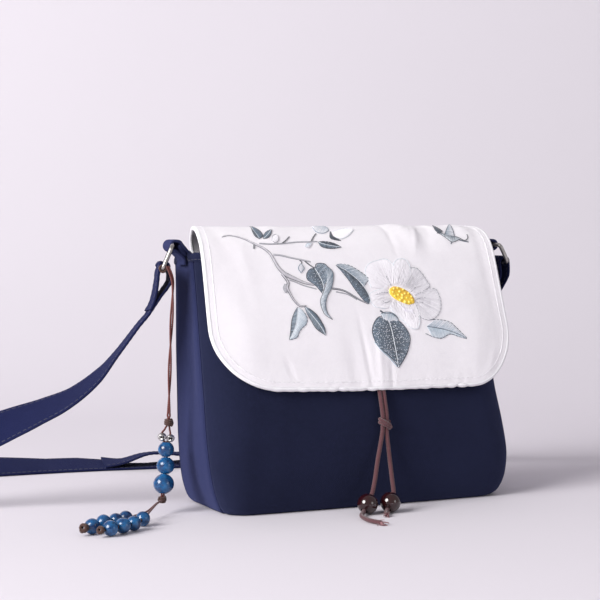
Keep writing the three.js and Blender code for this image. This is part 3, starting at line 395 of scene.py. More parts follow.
# %% Sizes and tables
MOUTH_Z, HALF_WIDTH, FRONT_DEPTH, BACK_DEPTH, CORNER_R = 160.2, 108.0, 44.0, 41.0, 28.0
WALL, GAP, CROWN, DENT_DEPTH, SEAM_ANGLE = 2.0, 0.35, 1.2, 2.0, 14.0
HEM_HEIGHT, HEM_THICK, SIDE_RISE = 5.0, 3.2, 4.0
BODY = dict(zip("z left right front back rf rb".split(), np.array([
    (0, 0.8796, 0.8843, 0.8182, 0.8537, 0.464, 0.429),
    (0.005, 0.9019, 0.9111, 0.8705, 0.9024, 0.536, 0.5),
    (0.0187, 0.9241, 0.9407, 0.9182, 0.9415, 0.571, 0.536),
    (0.0499, 0.9472, 0.9759, 0.9591, 0.9659, 0.643, 0.607),
    (0.0999, 0.9704, 1.0037, 0.9886, 0.9829, 0.714, 0.679),
    (0.1873, 0.9907, 1.0204, 1.0045, 0.9951, 0.821, 0.75),
    (0.3121, 1, 1.0056, 0.9909, 1, 0.964, 0.75),
    (0.4619, 1.0019, 0.9722, 0.9182, 0.9951, 1, 0.714),
    (0.6242, 1.0019, 0.9611, 0.7864, 0.9902, 0.964, 0.643),
    (0.7491, 1, 0.963, 0.6364, 0.9854, 0.857, 0.607),
    (0.8614, 0.9981, 0.9676, 0.4818, 0.9805, 0.714, 0.571),
    (0.9488, 0.9963, 0.9722, 0.3409, 0.9707, 0.607, 0.5),
    (1.005, 0.9944, 0.9759, 0.2841, 0.961, 0.536, 0.429)]).T))
UNIT = dict(left=HALF_WIDTH, right=HALF_WIDTH, front=FRONT_DEPTH, back=BACK_DEPTH, rf=CORNER_R,
            rb=CORNER_R)
# side, place across, place up, spread across, spread up, height
DENTS = [
    ("front", -.28, .26, .31, .1, .5), ("front", .37, .19, .24, .075, -.6),
    ("front", .81, .32, .11, .087, -.7), ("back", -.37, .44, .28, .19, .8),
    ("back", .43, .6, .31, .19, -.7), ("left", .04, .62, .13, .21, -1.1),
    ("left", .055, .29, .13, .125, .5), ("right", .04, .6, .13, .21, -1.2),
    # soft creases too small for the solids
    ("front", -.62, .12, .05, .11, .35), ("front", .6, .34, .07, .06, .3),
    ("front", -.05, .1, .16, .035, -.25), ("front", .3, .42, .2, .03, .25),
    ("front", -.5, .38, .06, .12, -.3), ("left", -.12, .2, .05, .12, .25),
    ("left", .2, .45, .05, .16, .3), ("back", 0, .2, .3, .05, .3), ("back", -.6, .75, .05, .14, .3),
]


def section(z, column):
    return UNIT[column] * smooth(BODY["z"], BODY[column], np.asarray(z, float) / MOUTH_Z)


def dent(side, a, z):
    return sum((k[5] * DENT_DEPTH * gauss(a / HALF_WIDTH - k[1], k[3]) * gauss(z / MOUTH_Z - k[2], k[4])
                for k in DENTS if k[0] == side), 0.0 * a)


def ripple(a, b, size, seed):
    """A gentle unevenness, from a few crossing waves."""
    pick = np.random.default_rng(seed)
    total = 0.0
    for _ in range(9):
        turn, phase = pick.uniform(0, 2 * np.pi, 2)
        wave = 2 * np.pi / (size * pick.uniform(0.6, 1.9))
        total = total + np.sin(wave * (a * np.cos(turn) + b * np.sin(turn)) + phase)
    return total / 9


# %% Rows of the panels
def seam_roll(distance):
    """How far the skin turns in beside a seam."""
    return 0.7 * np.exp(-(distance / 1.1) ** 2)


NEAR = np.array([0, 0.35, 0.8, 1.4, 2.2, 3.4])
CORNER_RISE, CORNER_SPREAD = 3.4, 11


def raised(p):
    """The mouth is a little higher where its front corners are pulled up by the flap."""
    high = np.clip((p[..., 2] - 122) / 38, 0, 1.1) ** 2
    near = (gauss(np.maximum(p[..., 1] + 8, 0), CORNER_SPREAD)
            * gauss(107.5 - np.abs(p[..., 0]), CORNER_SPREAD))
    p[..., 2] += CORNER_RISE * high * near
    return p


def corner_place(z, side, face, angle, inset):
    half = section(z, "left" if side < 0 else "right")
    depth = section(z, "front" if face < 0 else "back")
    r = section(z, "rf" if face < 0 else "rb")
    c, s = np.cos(np.radians(angle)), np.sin(np.radians(angle))
    return np.stack([side * (half - r + (r - inset) * c), face * (depth - r + (r - inset) * s),
                     np.broadcast_to(z, np.shape(half - r + (r - inset) * c))], -1)


def panel_grid(zs, face, inset, roll=True):
    """Front or back, seam to seam: round one corner, across, and round the other."""
    z = zs[:, None]
    r = section(z, "rf" if face < 0 else "rb")
    gap = GAP * np.where(z < 4, 2.4, 0.85)
    start = SEAM_ANGLE + np.degrees(gap / r)
    near = start + np.degrees(NEAR[None, :] / r)
    far = near[:, -1:] + (90 - near[:, -1:]) * np.linspace(0.12, 1, 11)[None, :-1]
    angles = np.hstack([near, far])
    turned = inset + (seam_roll(np.radians(angles - start) * r) if roll else 0)
    left = corner_place(z, -1, face, angles, turned)
    right = corner_place(z, 1, face, angles, turned)[:, ::-1]
    name = "front" if face < 0 else "back"
    x0, x1 = -(section(z, "left") - r), section(z, "right") - r
    t = np.linspace(0, 1, 91)[None, :]
    x = x0 + (x1 - x0) * t
    edge = np.minimum(1, 4 * t * (1 - t))
    uneven = 0.22 * ripple(x, z + 0 * x, 34.0, 5 if face < 0 else 6) if roll else 0
    y = face * (section(z, name) - inset + (CROWN + dent(name, x, z) + uneven) * edge)
    middle = np.stack([x, y, z + 0 * x], -1)
    return raised(np.hstack([left, middle, right]))


def side_grid(zs, side, inset, roll=True):
    """One side of the gusset, from the back seam to the front seam."""
    z = zs[:, None]
    rise = SIDE_RISE * (np.maximum(z, 0) / MOUTH_Z) ** 6
    rf, rb = section(z, "rf"), section(z, "rb")
    gap = GAP * np.where(z < 4, 2.4, 0.85)
    arcs = []
    for r, face in ((rb, 1), (rf, -1)):
        seam = np.radians(SEAM_ANGLE) * r - gap
        at = np.concatenate([NEAR, [5.0]])[None, :]
        run = np.maximum(seam * (1 - at / 6.0), 0)
        turned = inset + (seam_roll(seam - run) if roll else 0)
        arcs.append(corner_place(z, side, face, np.degrees(run / r), turned))
    half = section(z, "left" if side < 0 else "right")
    y0, y1 = section(z, "back") - rb, -(section(z, "front") - rf)
    t = np.linspace(0, 1, 37)[None, :]
    y = y0 + (y1 - y0) * t
    edge = 4 * t * (1 - t)
    name = "left" if side < 0 else "right"
    uneven = 0.3 * ripple(y, z + 0 * y, 30.0, 8 + side) if roll else 0
    x = side * (half - inset + edge * (dent(name, y, z) + uneven))
    middle = np.stack([x, y, z + rise * edge], -1)
    return raised(np.hstack([arcs[0], middle, arcs[1][:, ::-1]]))


def lengths_uv(grid):
    """A UV map in real lengths, measured along the middle row and the middle column."""
    m, n = grid.shape[:2]
    across = measured(grid[m // 2])
    down = measured(grid[:, n // 2])
    return np.stack(np.meshgrid(across, down), -1)


# %% [markdown]
# ## The body
# Real bags of this kind are cut as a front, a back and one long strip that runs down a side,
# under the base and up the other side. Each is sewn to the next with the edges turned in. Here
# each is a lofted shell, 2 mm thick, whose skin rolls in beside the seam.

# %% Front and back
PANEL_UNDER_HEM = 0.4
PANEL_TOP = MOUTH_Z - HEM_HEIGHT + PANEL_UNDER_HEM
FOOT = np.array([0, 0.3, 0.8, 1.6, 3.0, 5.0])
PANEL_Z = np.concatenate([FOOT, np.linspace(8, PANEL_TOP, 74)])


def body_panel(name, face, node):
    outer = panel_grid(PANEL_Z, face, 0.0)
    inner = panel_grid(np.maximum(PANEL_Z, WALL), face, WALL, roll=False)
    inner[:6, :, 2] = np.linspace(WALL, 2.2 * WALL, 6)[:, None]
    obj = shell(name, outer, inner, [navy, lining], lengths_uv(outer))
    return settle(obj, "navy", node)


body_panel("front_cloth", -1, "front_panel")
body_panel("back_cloth", 1, "back_panel")


# %% Gusset with the base
def gusset_grid(inset, roll):
    high = PANEL_Z[::-1]
    read = np.maximum(high, WALL) if inset else high
    left, right = side_grid(read, -1, inset, roll), side_grid(read, 1, inset, roll)
    if inset:
        for g in (left, right):
            g[-6:, :, 2] = np.linspace(2.2 * WALL, WALL, 6)[:, None]
    base = []
    cols = left.shape[1]
    share = np.linspace(0, 1, cols)[:, None]
    for side, angle in ((-1, 50), (-1, 90), (0, 0.333), (0, 0.667), (1, 90), (1, 50)):
        ends = []
        for face in (1, -1):
            if side:
                ends.append(corner_place(0.0, side, face, angle, GAP * 1.6))
            else:
                a = corner_place(0.0, -1, face, 90, GAP * 1.6)
                b = corner_place(0.0, 1, face, 90, GAP * 1.6)
                ends.append(a + (b - a) * angle)
        row = ends[0] + (ends[1] - ends[0]) * share
        row[:, 2] = WALL if inset else 0.0
        base.append(row)
    return np.concatenate([left, np.array(base), right[::-1]])


outer = gusset_grid(0.0, True)
# the gusset takes the lighter navy copy: painted light on the sides
settle(shell("gusset_cloth", outer, gusset_grid(WALL, False), [lit_side_navy, lining], lengths_uv(outer)),
       "navy", "gusset")


# %% [markdown]
# ## The hem of the mouth
# The cut edge of the mouth is turned in and stitched, so it is a little thicker than the walls and
# has a rounded top.

# %% Hem
def mouth_ring(z, inset):
    zs = vec(z)
    back = panel_grid(zs, 1, inset, False)[0]
    front = panel_grid(zs, -1, inset, False)[0][::-1]
    right = side_grid(zs, 1, inset, False)[0][7:-7]
    left = side_grid(zs, -1, inset, False)[0][7:-7][::-1]
    return np.vstack([back, right, front, left])


PROUD = (HEM_THICK - WALL) / 2
low = MOUTH_Z - HEM_HEIGHT
HEM_PROFILE = [
    (low, WALL + PROUD), (low, -PROUD + 0.5), (low + 0.4, -PROUD), (low + 2, -PROUD - 0.1),
    (MOUTH_Z - 1.4, -PROUD), (MOUTH_Z - 0.6, -PROUD + 0.4), (MOUTH_Z, 0.1), (MOUTH_Z + 0.1, 1.0),
    (MOUTH_Z, 1.9), (MOUTH_Z - 0.6, WALL + PROUD - 0.4), (MOUTH_Z - 1.4, WALL + PROUD)]
rings = np.array([mouth_ring(z, inset) for z, inset in HEM_PROFILE])
hem_length = measured(rings[3])
hem_uv = np.stack(np.meshgrid(hem_length, np.arange(len(rings)) * 1.2), -1)
hem = make_piece("mouth_hem_cloth", rings.reshape(-1, 3),
                 [grid_quads(*rings.shape[:2], wrap_rows=True, wrap_cols=True)], navy, hem_uv, sharp=60)
settle(hem, "navy", "mouth_hem")

# %% [markdown]
# ## The flap
# The flap is sewn behind the mouth, arches over it and falls down the front. Its profile is a
# table of shares. A point of it is found from the distance across and the length along the cloth,
# so that the embroidery can be laid out on the flat and still follow every fold.

# %% Flap surface
FLAP_THICK, FLAP_HALF, FLAP_DROP, FLAP_ARCH, FLAP_CLEAR = 2.6, 104.2, 82.6, 19.8, 1.5
FLAP_CORNER, FLAP_CORNER_RIGHT, FLAP_LEFT_RISE, FLAP_BOW, FOLD_DEPTH = 41.0, 0.8, 4.0, 2.2, 1.0
# share of the way from back to front, share of the arch, half width
FLAP_OVER = [(0, 0, .868), (.025, .32, .882), (.108, .66, .902), (.258, .895, .925), (.452, 1, .958),
             (.646, .979, .982), (.814, .77, .997), (.94, .346, 1.002)]
# share of the drop, extra distance, half width
FLAP_DOWN = [(.051, .6, 1.005), (.269, .2, 1.01), (.487, .13, 1.015), (.729, 0, 1.02), (.867, 0, 1.02),
             (1, .45, 1.02)]
# place across, place along, spread across, spread along, lean, height
FOLDS = [
    (.4, .3, .048, .1, .38, 1.1), (.55, .33, .038, .08, -.29, -.9), (.84, .28, .048, .08, .29, 1),
    (-.5, .3, .067, .09, -.29, .7), (-.115, .94, .038, .1, .1, -.45), (.086, .94, .048, .12, -.1, .4),
    (-.8, .8, .086, .14, .19, .8), (.77, .82, .086, .14, -.19, .8),
    # fine creases that the solids leave out
    (-.03, .86, .012, .09, .12, -.55), (.06, .9, .014, .1, -.06, .5), (.13, .95, .012, .06, -.1, -.5),
    (-.55, .93, .016, .035, .5, -.35), (.86, .92, .02, .04, -.6, .35), (.28, .34, .016, .07, .1, -.5),
    (.47, .36, .014, .06, -.5, .5), (.64, .3, .018, .07, .35, .4), (-.3, .62, .06, .03, 1.2, .25),
    (.7, .62, .08, .04, -1.5, .3), (-.75, .5, .03, .1, .2, .3), (.93, .5, .025, .16, .1, -.4),
    (.2, .66, .05, .03, -1.5, -.3), (-.9, .35, .03, .08, .3, -.35),
]


def flap_front(z):
    return -(section(z, "front") + CROWN + FLAP_CLEAR + FLAP_THICK)


root_y, edge_y = float(section(MOUTH_Z, "back")) - WALL / 2 + 0.2, float(flap_front(MOUTH_Z))
PROFILE = np.array(
    [(root_y + (edge_y - root_y) * a, MOUTH_Z + 2 * GAP + (FLAP_ARCH - 2 * GAP) * u, w)
     for a, u, w in FLAP_OVER]
    + [(float(flap_front(MOUTH_Z - d * FLAP_DROP)) - o * FLAP_CLEAR, MOUTH_Z - d * FLAP_DROP, w)
       for d, o, w in FLAP_DOWN])


def profile(t):
    k = np.asarray(t, float) * (len(PROFILE) - 1)
    return [smooth(np.arange(len(PROFILE)), PROFILE[:, c], k) for c in range(3)]


ARC_T = np.linspace(0, 1, 201)
py, pz, _ = profile(ARC_T)
ARC_S = np.concatenate([[0], np.cumsum(np.hypot(np.diff(py), np.diff(pz)))])
FLAP_LENGTH = float(ARC_S[-1])
UNEVEN, PUCKER, PUCKER_REACH = 0.13, 0.34, 6.0


def flap_half(s, side):
    half = FLAP_HALF * profile(np.interp(s, ARC_S, ARC_T))[2]
    d = np.maximum(FLAP_CORNER - (FLAP_LENGTH - s), 0)
    cut = FLAP_CORNER - np.sqrt(np.maximum(FLAP_CORNER**2 - d**2, 0))
    return half - cut * np.where(side < 0, 1, FLAP_CORNER_RIGHT)


def flap_at(x, s):
    """Places on the flap's outer face, from x across and s along, in mm."""
    x, s = np.broadcast_arrays(np.asarray(x, float), np.asarray(s, float))
    t = np.interp(s, ARC_S, ARC_T)
    y, z, _ = profile(t)
    share, a = s / FLAP_LENGTH, x / FLAP_HALF
    out = sum(h * FOLD_DEPTH * gauss(a - fx - lean * (share - fs), sx) * gauss(share - fs, ss)
              for fx, fs, sx, ss, lean, h in FOLDS)
    out = out + UNEVEN * ripple(x, s, 21.0, 3)
    hem_away = np.maximum(FLAP_LENGTH - s, 0)
    out = out + PUCKER * ripple(x, 0.3 * s, 4.6, 12) * np.exp(-hem_away / PUCKER_REACH) * (hem_away > 0.2)
    y1, z1, _ = profile(np.minimum(t + 0.01, 1))
    y0, z0, _ = profile(np.maximum(t - 0.01, 0))
    run = np.hypot(y1 - y0, z1 - z0)
    ty, tz = (y1 - y0) / run, (z1 - z0) / run
    fade = np.minimum(1, s / FLAP_ARCH)
    bow = np.where(share > 0.4, FLAP_BOW * a**4 * np.minimum((share - 0.4) / 0.3, 1), 0)
    lift = np.maximum(out * fade, -FLAP_CLEAR / 2.5) - bow
    rise = FLAP_LEFT_RISE * np.maximum(0, share - 0.6) / 0.4 * np.maximum(0, 0.17 - a / 1.15) ** 1.5
    sway = 0.8 * np.sin(3 * a) * fade * (1 - share)
    return np.stack([x, y + tz * lift + rise * 0.35, z - ty * lift + sway + rise], -1)


def flap_normal(x, s):
    """Outward directions of the flap's outer face."""
    dx = flap_at(np.add(x, 0.4), s) - flap_at(np.subtract(x, 0.4), s)
    ds = flap_at(x, np.add(s, 0.4)) - flap_at(x, np.subtract(s, 0.4))
    return unit(np.cross(ds, dx))


print("flap length along the cloth, mm:", round(FLAP_LENGTH, 1))

# %% Flap cloth
rows = np.concatenate([np.linspace(0, FLAP_LENGTH - FLAP_CORNER, 100)[:-1],
                       FLAP_LENGTH - FLAP_CORNER * (1 - np.sin(np.linspace(0, np.pi / 2, 42)))])
u = np.linspace(-1, 1, 171)
S = np.broadcast_to(rows[:, None], (len(rows), len(u)))
X = u[None, :] * flap_half(S, u[None, :])
flap_outer = flap_at(X, S)
flap_out = flap_normal(X, S)
flap_out *= np.sign(flap_out[50, 85, 2])
flap_inner = flap_outer - FLAP_THICK * flap_out
flap_cloth = shell("flap_cloth", flap_outer, flap_inner, [white_cotton, lining], np.stack([X, S], -1))
settle(flap_cloth, "pale", "flap")
widths = flap_half(rows, -1) + flap_half(rows, 1)
flat_area = float(((widths[1:] + widths[:-1]) / 2 * np.diff(rows)).sum()) * MM * MM
print("flap's flat area, m2:", round(flat_area, 4))

# %% [markdown]
# ## Piping
# The flap's edge is finished with piping: a cord wrapped in a strip of the same white cotton and
# caught in the seam. It is a round tube that follows the edge from root to root.

# %% Piping
PIPING_R = 1.5
mid = (flap_outer + flap_inner) / 2
edge_line = np.vstack([mid[2:, 0], mid[-1, 1:-1], mid[2:, -1][::-1]])
edge_up = np.vstack([flap_out[2:, 0], flap_out[-1, 1:-1], flap_out[2:, -1][::-1]])
edge_line = evenly(np.hstack([edge_line, edge_up]), 1.4)
edge_line, edge_up = edge_line[:, :3], unit(edge_line[:, 3:])
edge_out = unit(np.cross(np.gradient(edge_line, axis=0), edge_up))
edge_out *= np.sign(((edge_line - vec(0, 0, MOUTH_Z - FLAP_DROP / 2)) * edge_out).sum(-1, keepdims=True))
piping_line = edge_line + edge_out * (PIPING_R - 0.55)
verts, faces, uv = rope(piping_line, PIPING_R, 14)
piping = make_piece("flap_piping_cord", verts, faces, piping_cotton, uv, sharp=70)
settle(piping, "white", "flap_piping")

# %% [markdown]
# ## Threads
# Embroidery is real thread lying on the cloth, so it is made as thread. A stitch is a short line of
# points on the flap with a height over it. Thousands of such lines share one mesh of edges, and a
# small tree of geometry nodes sweeps a round section along each. Every point carries its dye.

# %% The thread tree
def node_tree(name, **inputs):
    tree = bpy.data.node_groups.new(name, "GeometryNodeTree")
    tree.interface.new_socket("Geometry", in_out="INPUT", socket_type="NodeSocketGeometry")
    for title, kind in inputs.items():
        tree.interface.new_socket(title, in_out="INPUT", socket_type="NodeSocket" + kind)
    tree.interface.new_socket("Geometry", in_out="OUTPUT", socket_type="NodeSocketGeometry")
    return tree, tree.nodes.new("NodeGroupInput"), tree.nodes.new("NodeGroupOutput")


def link(tree, *pairs):
    for (a, out), (b, into) in pairs:
        tree.links.new(a.outputs[out], b.inputs[into])


def ending(tree, node, out, start, end):
    """Every tree ends the same way: real geometry, with its look."""
    real, wear = tree.nodes.new("GeometryNodeRealizeInstances"), tree.nodes.new("GeometryNodeSetMaterial")
    link(tree, ((node, out), (real, 0)), ((real, 0), (wear, "Geometry")),
         ((start, "Look"), (wear, "Material")), ((wear, 0), (end, 0)))


thread_tree, start, end = node_tree("laid_thread", Radius="Float", Sides="Int", Look="Material")
to_line = thread_tree.nodes.new("GeometryNodeMeshToCurve")
circle = thread_tree.nodes.new("GeometryNodeCurvePrimitiveCircle")
sweep_node = thread_tree.nodes.new("GeometryNodeCurveToMesh")
sweep_node.inputs["Fill Caps"].default_value = True
link(thread_tree, ((start, "Geometry"), (to_line, "Mesh")), ((start, "Sides"), (circle, "Resolution")),
     ((start, "Radius"), (circle, "Radius")), ((to_line, 0), (sweep_node, "Curve")),
     ((circle, 0), (sweep_node, "Profile Curve")))
ending(thread_tree, sweep_node, 0, start, end)

knot_tree, start, end = node_tree("small_knots", Size="Float", Look="Material", Seed="Int")
lump = knot_tree.nodes.new("GeometryNodeMeshIcoSphere")
lump.inputs["Subdivisions"].default_value = 2
place_each = knot_tree.nodes.new("GeometryNodeInstanceOnPoints")
vary = knot_tree.nodes.new("FunctionNodeRandomValue")
vary.data_type = "FLOAT"
vary.inputs[2].default_value, vary.inputs[3].default_value = 0.75, 1.2
link(knot_tree, ((start, "Size"), (lump, "Radius")), ((start, "Geometry"), (place_each, "Points")),
     ((lump, 0), (place_each, "Instance")), ((start, "Seed"), (vary, "Seed")), ((vary, 1), (place_each, "Scale")))
ending(knot_tree, place_each, 0, start, end)


def grown(obj, tree, **values):
    """Run a tree on an object and keep the result as its plain mesh."""
    step = obj.modifiers.new("grow", "NODES")
    step.node_group = tree
    names = {i.name: i.identifier for i in tree.interface.items_tree if i.in_out == "INPUT"}
    for key, value in values.items():
        step[names[key]] = value
    bpy.context.view_layer.update()
    mesh = bpy.data.meshes.new_from_object(obj.evaluated_get(bpy.context.evaluated_depsgraph_get()))
    obj.modifiers.remove(step)
    obj.data = mesh
    mesh.name = obj.name
    mesh.calc_loop_triangles()
    at = np.empty(len(mesh.vertices) * 3)
    mesh.vertices.foreach_get("co", at)
    at = at.reshape(-1, 3)
    tris = np.array([t.vertices[:] for t in mesh.loop_triangles])
    a, b, c = at[tris[:, 0]], at[tris[:, 1]], at[tris[:, 2]]
    if (a * np.cross(b, c)).sum() < 0:
        mesh.flip_normals()
    mesh.polygons.foreach_set("use_smooth", np.ones(len(mesh.polygons), bool))
    return obj


def thread_piece(name, runs, look, radius=0.24, sides=5):
    """A tube along each run, as one object. A run holds points in mm, dyes and a share of flecks."""
    points = np.vstack([r[0] for r in runs]) * MM
    mesh = bpy.data.meshes.new(name)
    edges, n = [], 0
    for r in runs:
        k = len(r[0])
        edges += [(i, i + 1) for i in range(n, n + k - 1)]
        n += k
    mesh.from_pydata(points.tolist(), edges, [])
    dyes = np.zeros((n, 4), np.float32)
    dyes[:, :3] = np.vstack([np.broadcast_to(r[1][..., :3], r[0].shape) for r in runs])
    dyes[:, 3] = np.concatenate([np.full(len(r[0]), r[2] if len(r) > 2 else 0.0) for r in runs])
    mesh.attributes.new("dye", "FLOAT_COLOR", "POINT").data.foreach_set("color", dyes.ravel())
    return grown(shown(name, mesh), thread_tree, Radius=radius * MM, Sides=sides, Look=look)


FLECK = rgb(226, 230, 238)


def thread_look(name, rough=0.42, sheen=0.3, level=0.5):
    look = Look(name, roughness=rough, sheen_weight=sheen, specular_ior_level=level)
    carried = look.add("ShaderNodeAttribute", {"attribute_name": "dye"})
    dye, share = look.out(carried, "Color"), look.out(carried, "Alpha")
    fine = look.noise(900.0, 2.0, 0.6)
    cells = look.add("ShaderNodeTexVoronoi", Vector=look.place(), Scale=950.0)
    fleck = (share * 0.6).over(look.out(cells, "Distance"))
    look.colour(look.blend(fleck * 0.8, look.blend(fine * 0.1, dye, (0.8, 0.8, 0.82, 1)), FLECK))
    look.bump(fine, 0.00006)
    return look.material


silk = thread_look("silk_thread")
cotton_thread = thread_look("cotton_thread", 0.7, 0.2, 0.3)
print("thread trees ready")

# %% [markdown]
# ## Laying stitches on the flap
# Satin stitch fills a leaf with threads that cross from one outline to the other, close together and
# slightly raised in the middle. Longer threads are caught down on the way. The light flecks are dots
# in the look of the thread, and each thread carries its share of them.
# Stems are filled with threads that run along them. All of it is laid out flat, in mm across and mm
# along the cloth, and is then carried on to the folded flap.

# %% Stitches
PICK = np.random.default_rng(7)
SUNK = -0.05
DYES = dict(deep=rgb(28, 38, 54), slate=rgb(54, 70, 88), blue=rgb(104, 124, 142), pale=rgb(166, 182, 196),
            mist=rgb(222, 228, 234), grey=rgb(92, 94, 100), ash=rgb(160, 161, 168), silver=rgb(206, 203, 210),
            white=rgb(247, 245, 249), lilac=rgb(216, 211, 226), yellow=rgb(252, 222, 34),
            gold=rgb(240, 178, 22), milk=rgb(232, 228, 234))
DYES = {k: np.array(v[:3]) for k, v in DYES.items()}


def spread(line, t):
    """Places at shares t of the length of a smooth line through the points of a table."""
    fine = curve(line, 20 * (len(line) - 1))
    s = measured(fine)
    return np.stack([np.interp(np.asarray(t) * s[-1], s, fine[:, k]) for k in range(2)], -1)


flap_side = float(np.sign(flap_normal(0.0, FLAP_LENGTH * 0.4)[..., 2]))


def on_flap(flat, height):
    """Places over the folded flap, from places on the flat and a height over the cloth."""
    flat, height = np.asarray(flat, float), np.asarray(height, float)
    x, s = flat[..., 0], flat[..., 1]
    return flap_at(x, s) + flap_normal(x, s) * flap_side * height[..., None]


def laid(flat, height, dye):
    return on_flap(flat, height), np.asarray(dye, float)


def satin(a, b, dark, light, pitch=0.4, lean=0.1, lift=0.12, bulge=0.34, speck=0.0, caught=3.6,
          start=0.0, across=0.25, stripe=0.0):
    """Threads from outline a to outline b, dyed dark at a and light at b. speck is the share of light
    flecks, and stripe alternates the dye from thread to thread."""
    far = max(length_of(curve(a, 60)), length_of(curve(b, 60)))
    n = max(int(far / pitch), 3)
    t = (np.arange(n) + 0.5) / n
    runs = []
    for turn_no, (p, q) in enumerate(zip(spread(a, t), spread(b, np.minimum(t + lean * (1 - t), 1)))):
        p = p + (q - p) * start * PICK.choice([0, 0.5, 1.0])
        long = float(np.linalg.norm(q - p))
        if long < 0.45:
            continue
        w = np.linspace(0, 1, max(int(long / 0.7), 4) + 1)
        high = lift + bulge * min(long / 4, 1) * (4 * w * (1 - w)) ** 0.6
        if long > caught:
            high = high - 0.16 * (0.5 + 0.5 * np.cos(2 * np.pi * (w * long / caught + PICK.random())))
        mix = PICK.normal(0.45, 0.16) + across * (w - 0.5) * 2 + stripe * math.sin(turn_no * 2.1)
        mix = np.clip(mix + PICK.normal(0, 0.07, len(w)), 0, 1)
        dye = DYES[dark] + (DYES[light] - DYES[dark]) * mix[:, None]
        high[0] = high[-1] = SUNK
        runs.append((*laid(p + (q - p) * w[:, None], high, dye), speck))
    return runs


def running(line, dye, step=2.6, lift=0.2, dip=0.16):
    """One thread that runs along a line and dips between its stitches. A deep dip makes dashes."""
    long = length_of(curve(line, 80))
    t = np.linspace(0, 1, max(int(long / 0.55), 3) + 1)
    high = lift - dip * np.abs(np.cos(np.pi * t * long / step)) ** (6 if dip < 0.3 else 3)
    high[0] = high[-1] = SUNK
    shade = DYES[dye] * (1 + 0.08 * np.sin(t * long * 2.1 + PICK.random() * 6))[:, None]
    return [laid(spread(line, t), high, np.clip(shade, 0, 1))]


def stem(line, width, edge, fill, lift=0.16):
    """Threads side by side along a line. width gives shares of the length and widths in mm."""
    t = np.linspace(0, 1, max(int(length_of(curve(line, 80)) / 0.8), 6) + 1)
    mid = spread(line, t)
    out = unit(np.gradient(mid, axis=0))[:, ::-1] * (1, -1)
    wide = np.interp(t, [w[0] for w in width], [w[1] for w in width])
    n = max(int(round(wide.max() / 0.4)), 1)
    runs = []
    for k in range(n + 1):
        at = (k / n - 0.5) if n > 1 else (k - 0.5) * 0.8
        side = k in (0, n)
        high = lift + 0.25 * (1 - 4 * at * at) - 0.12 * np.abs(np.cos(np.pi * (t * 14 + PICK.random()))) ** 5
        high[0] = high[-1] = SUNK
        tone = DYES[edge] if side else DYES[fill] + (DYES[edge] - DYES[fill]) * PICK.uniform(0, 0.35)
        runs.append(laid(mid + out * (wide * at)[:, None], high, np.broadcast_to(tone, (len(t), 3))))
    return runs


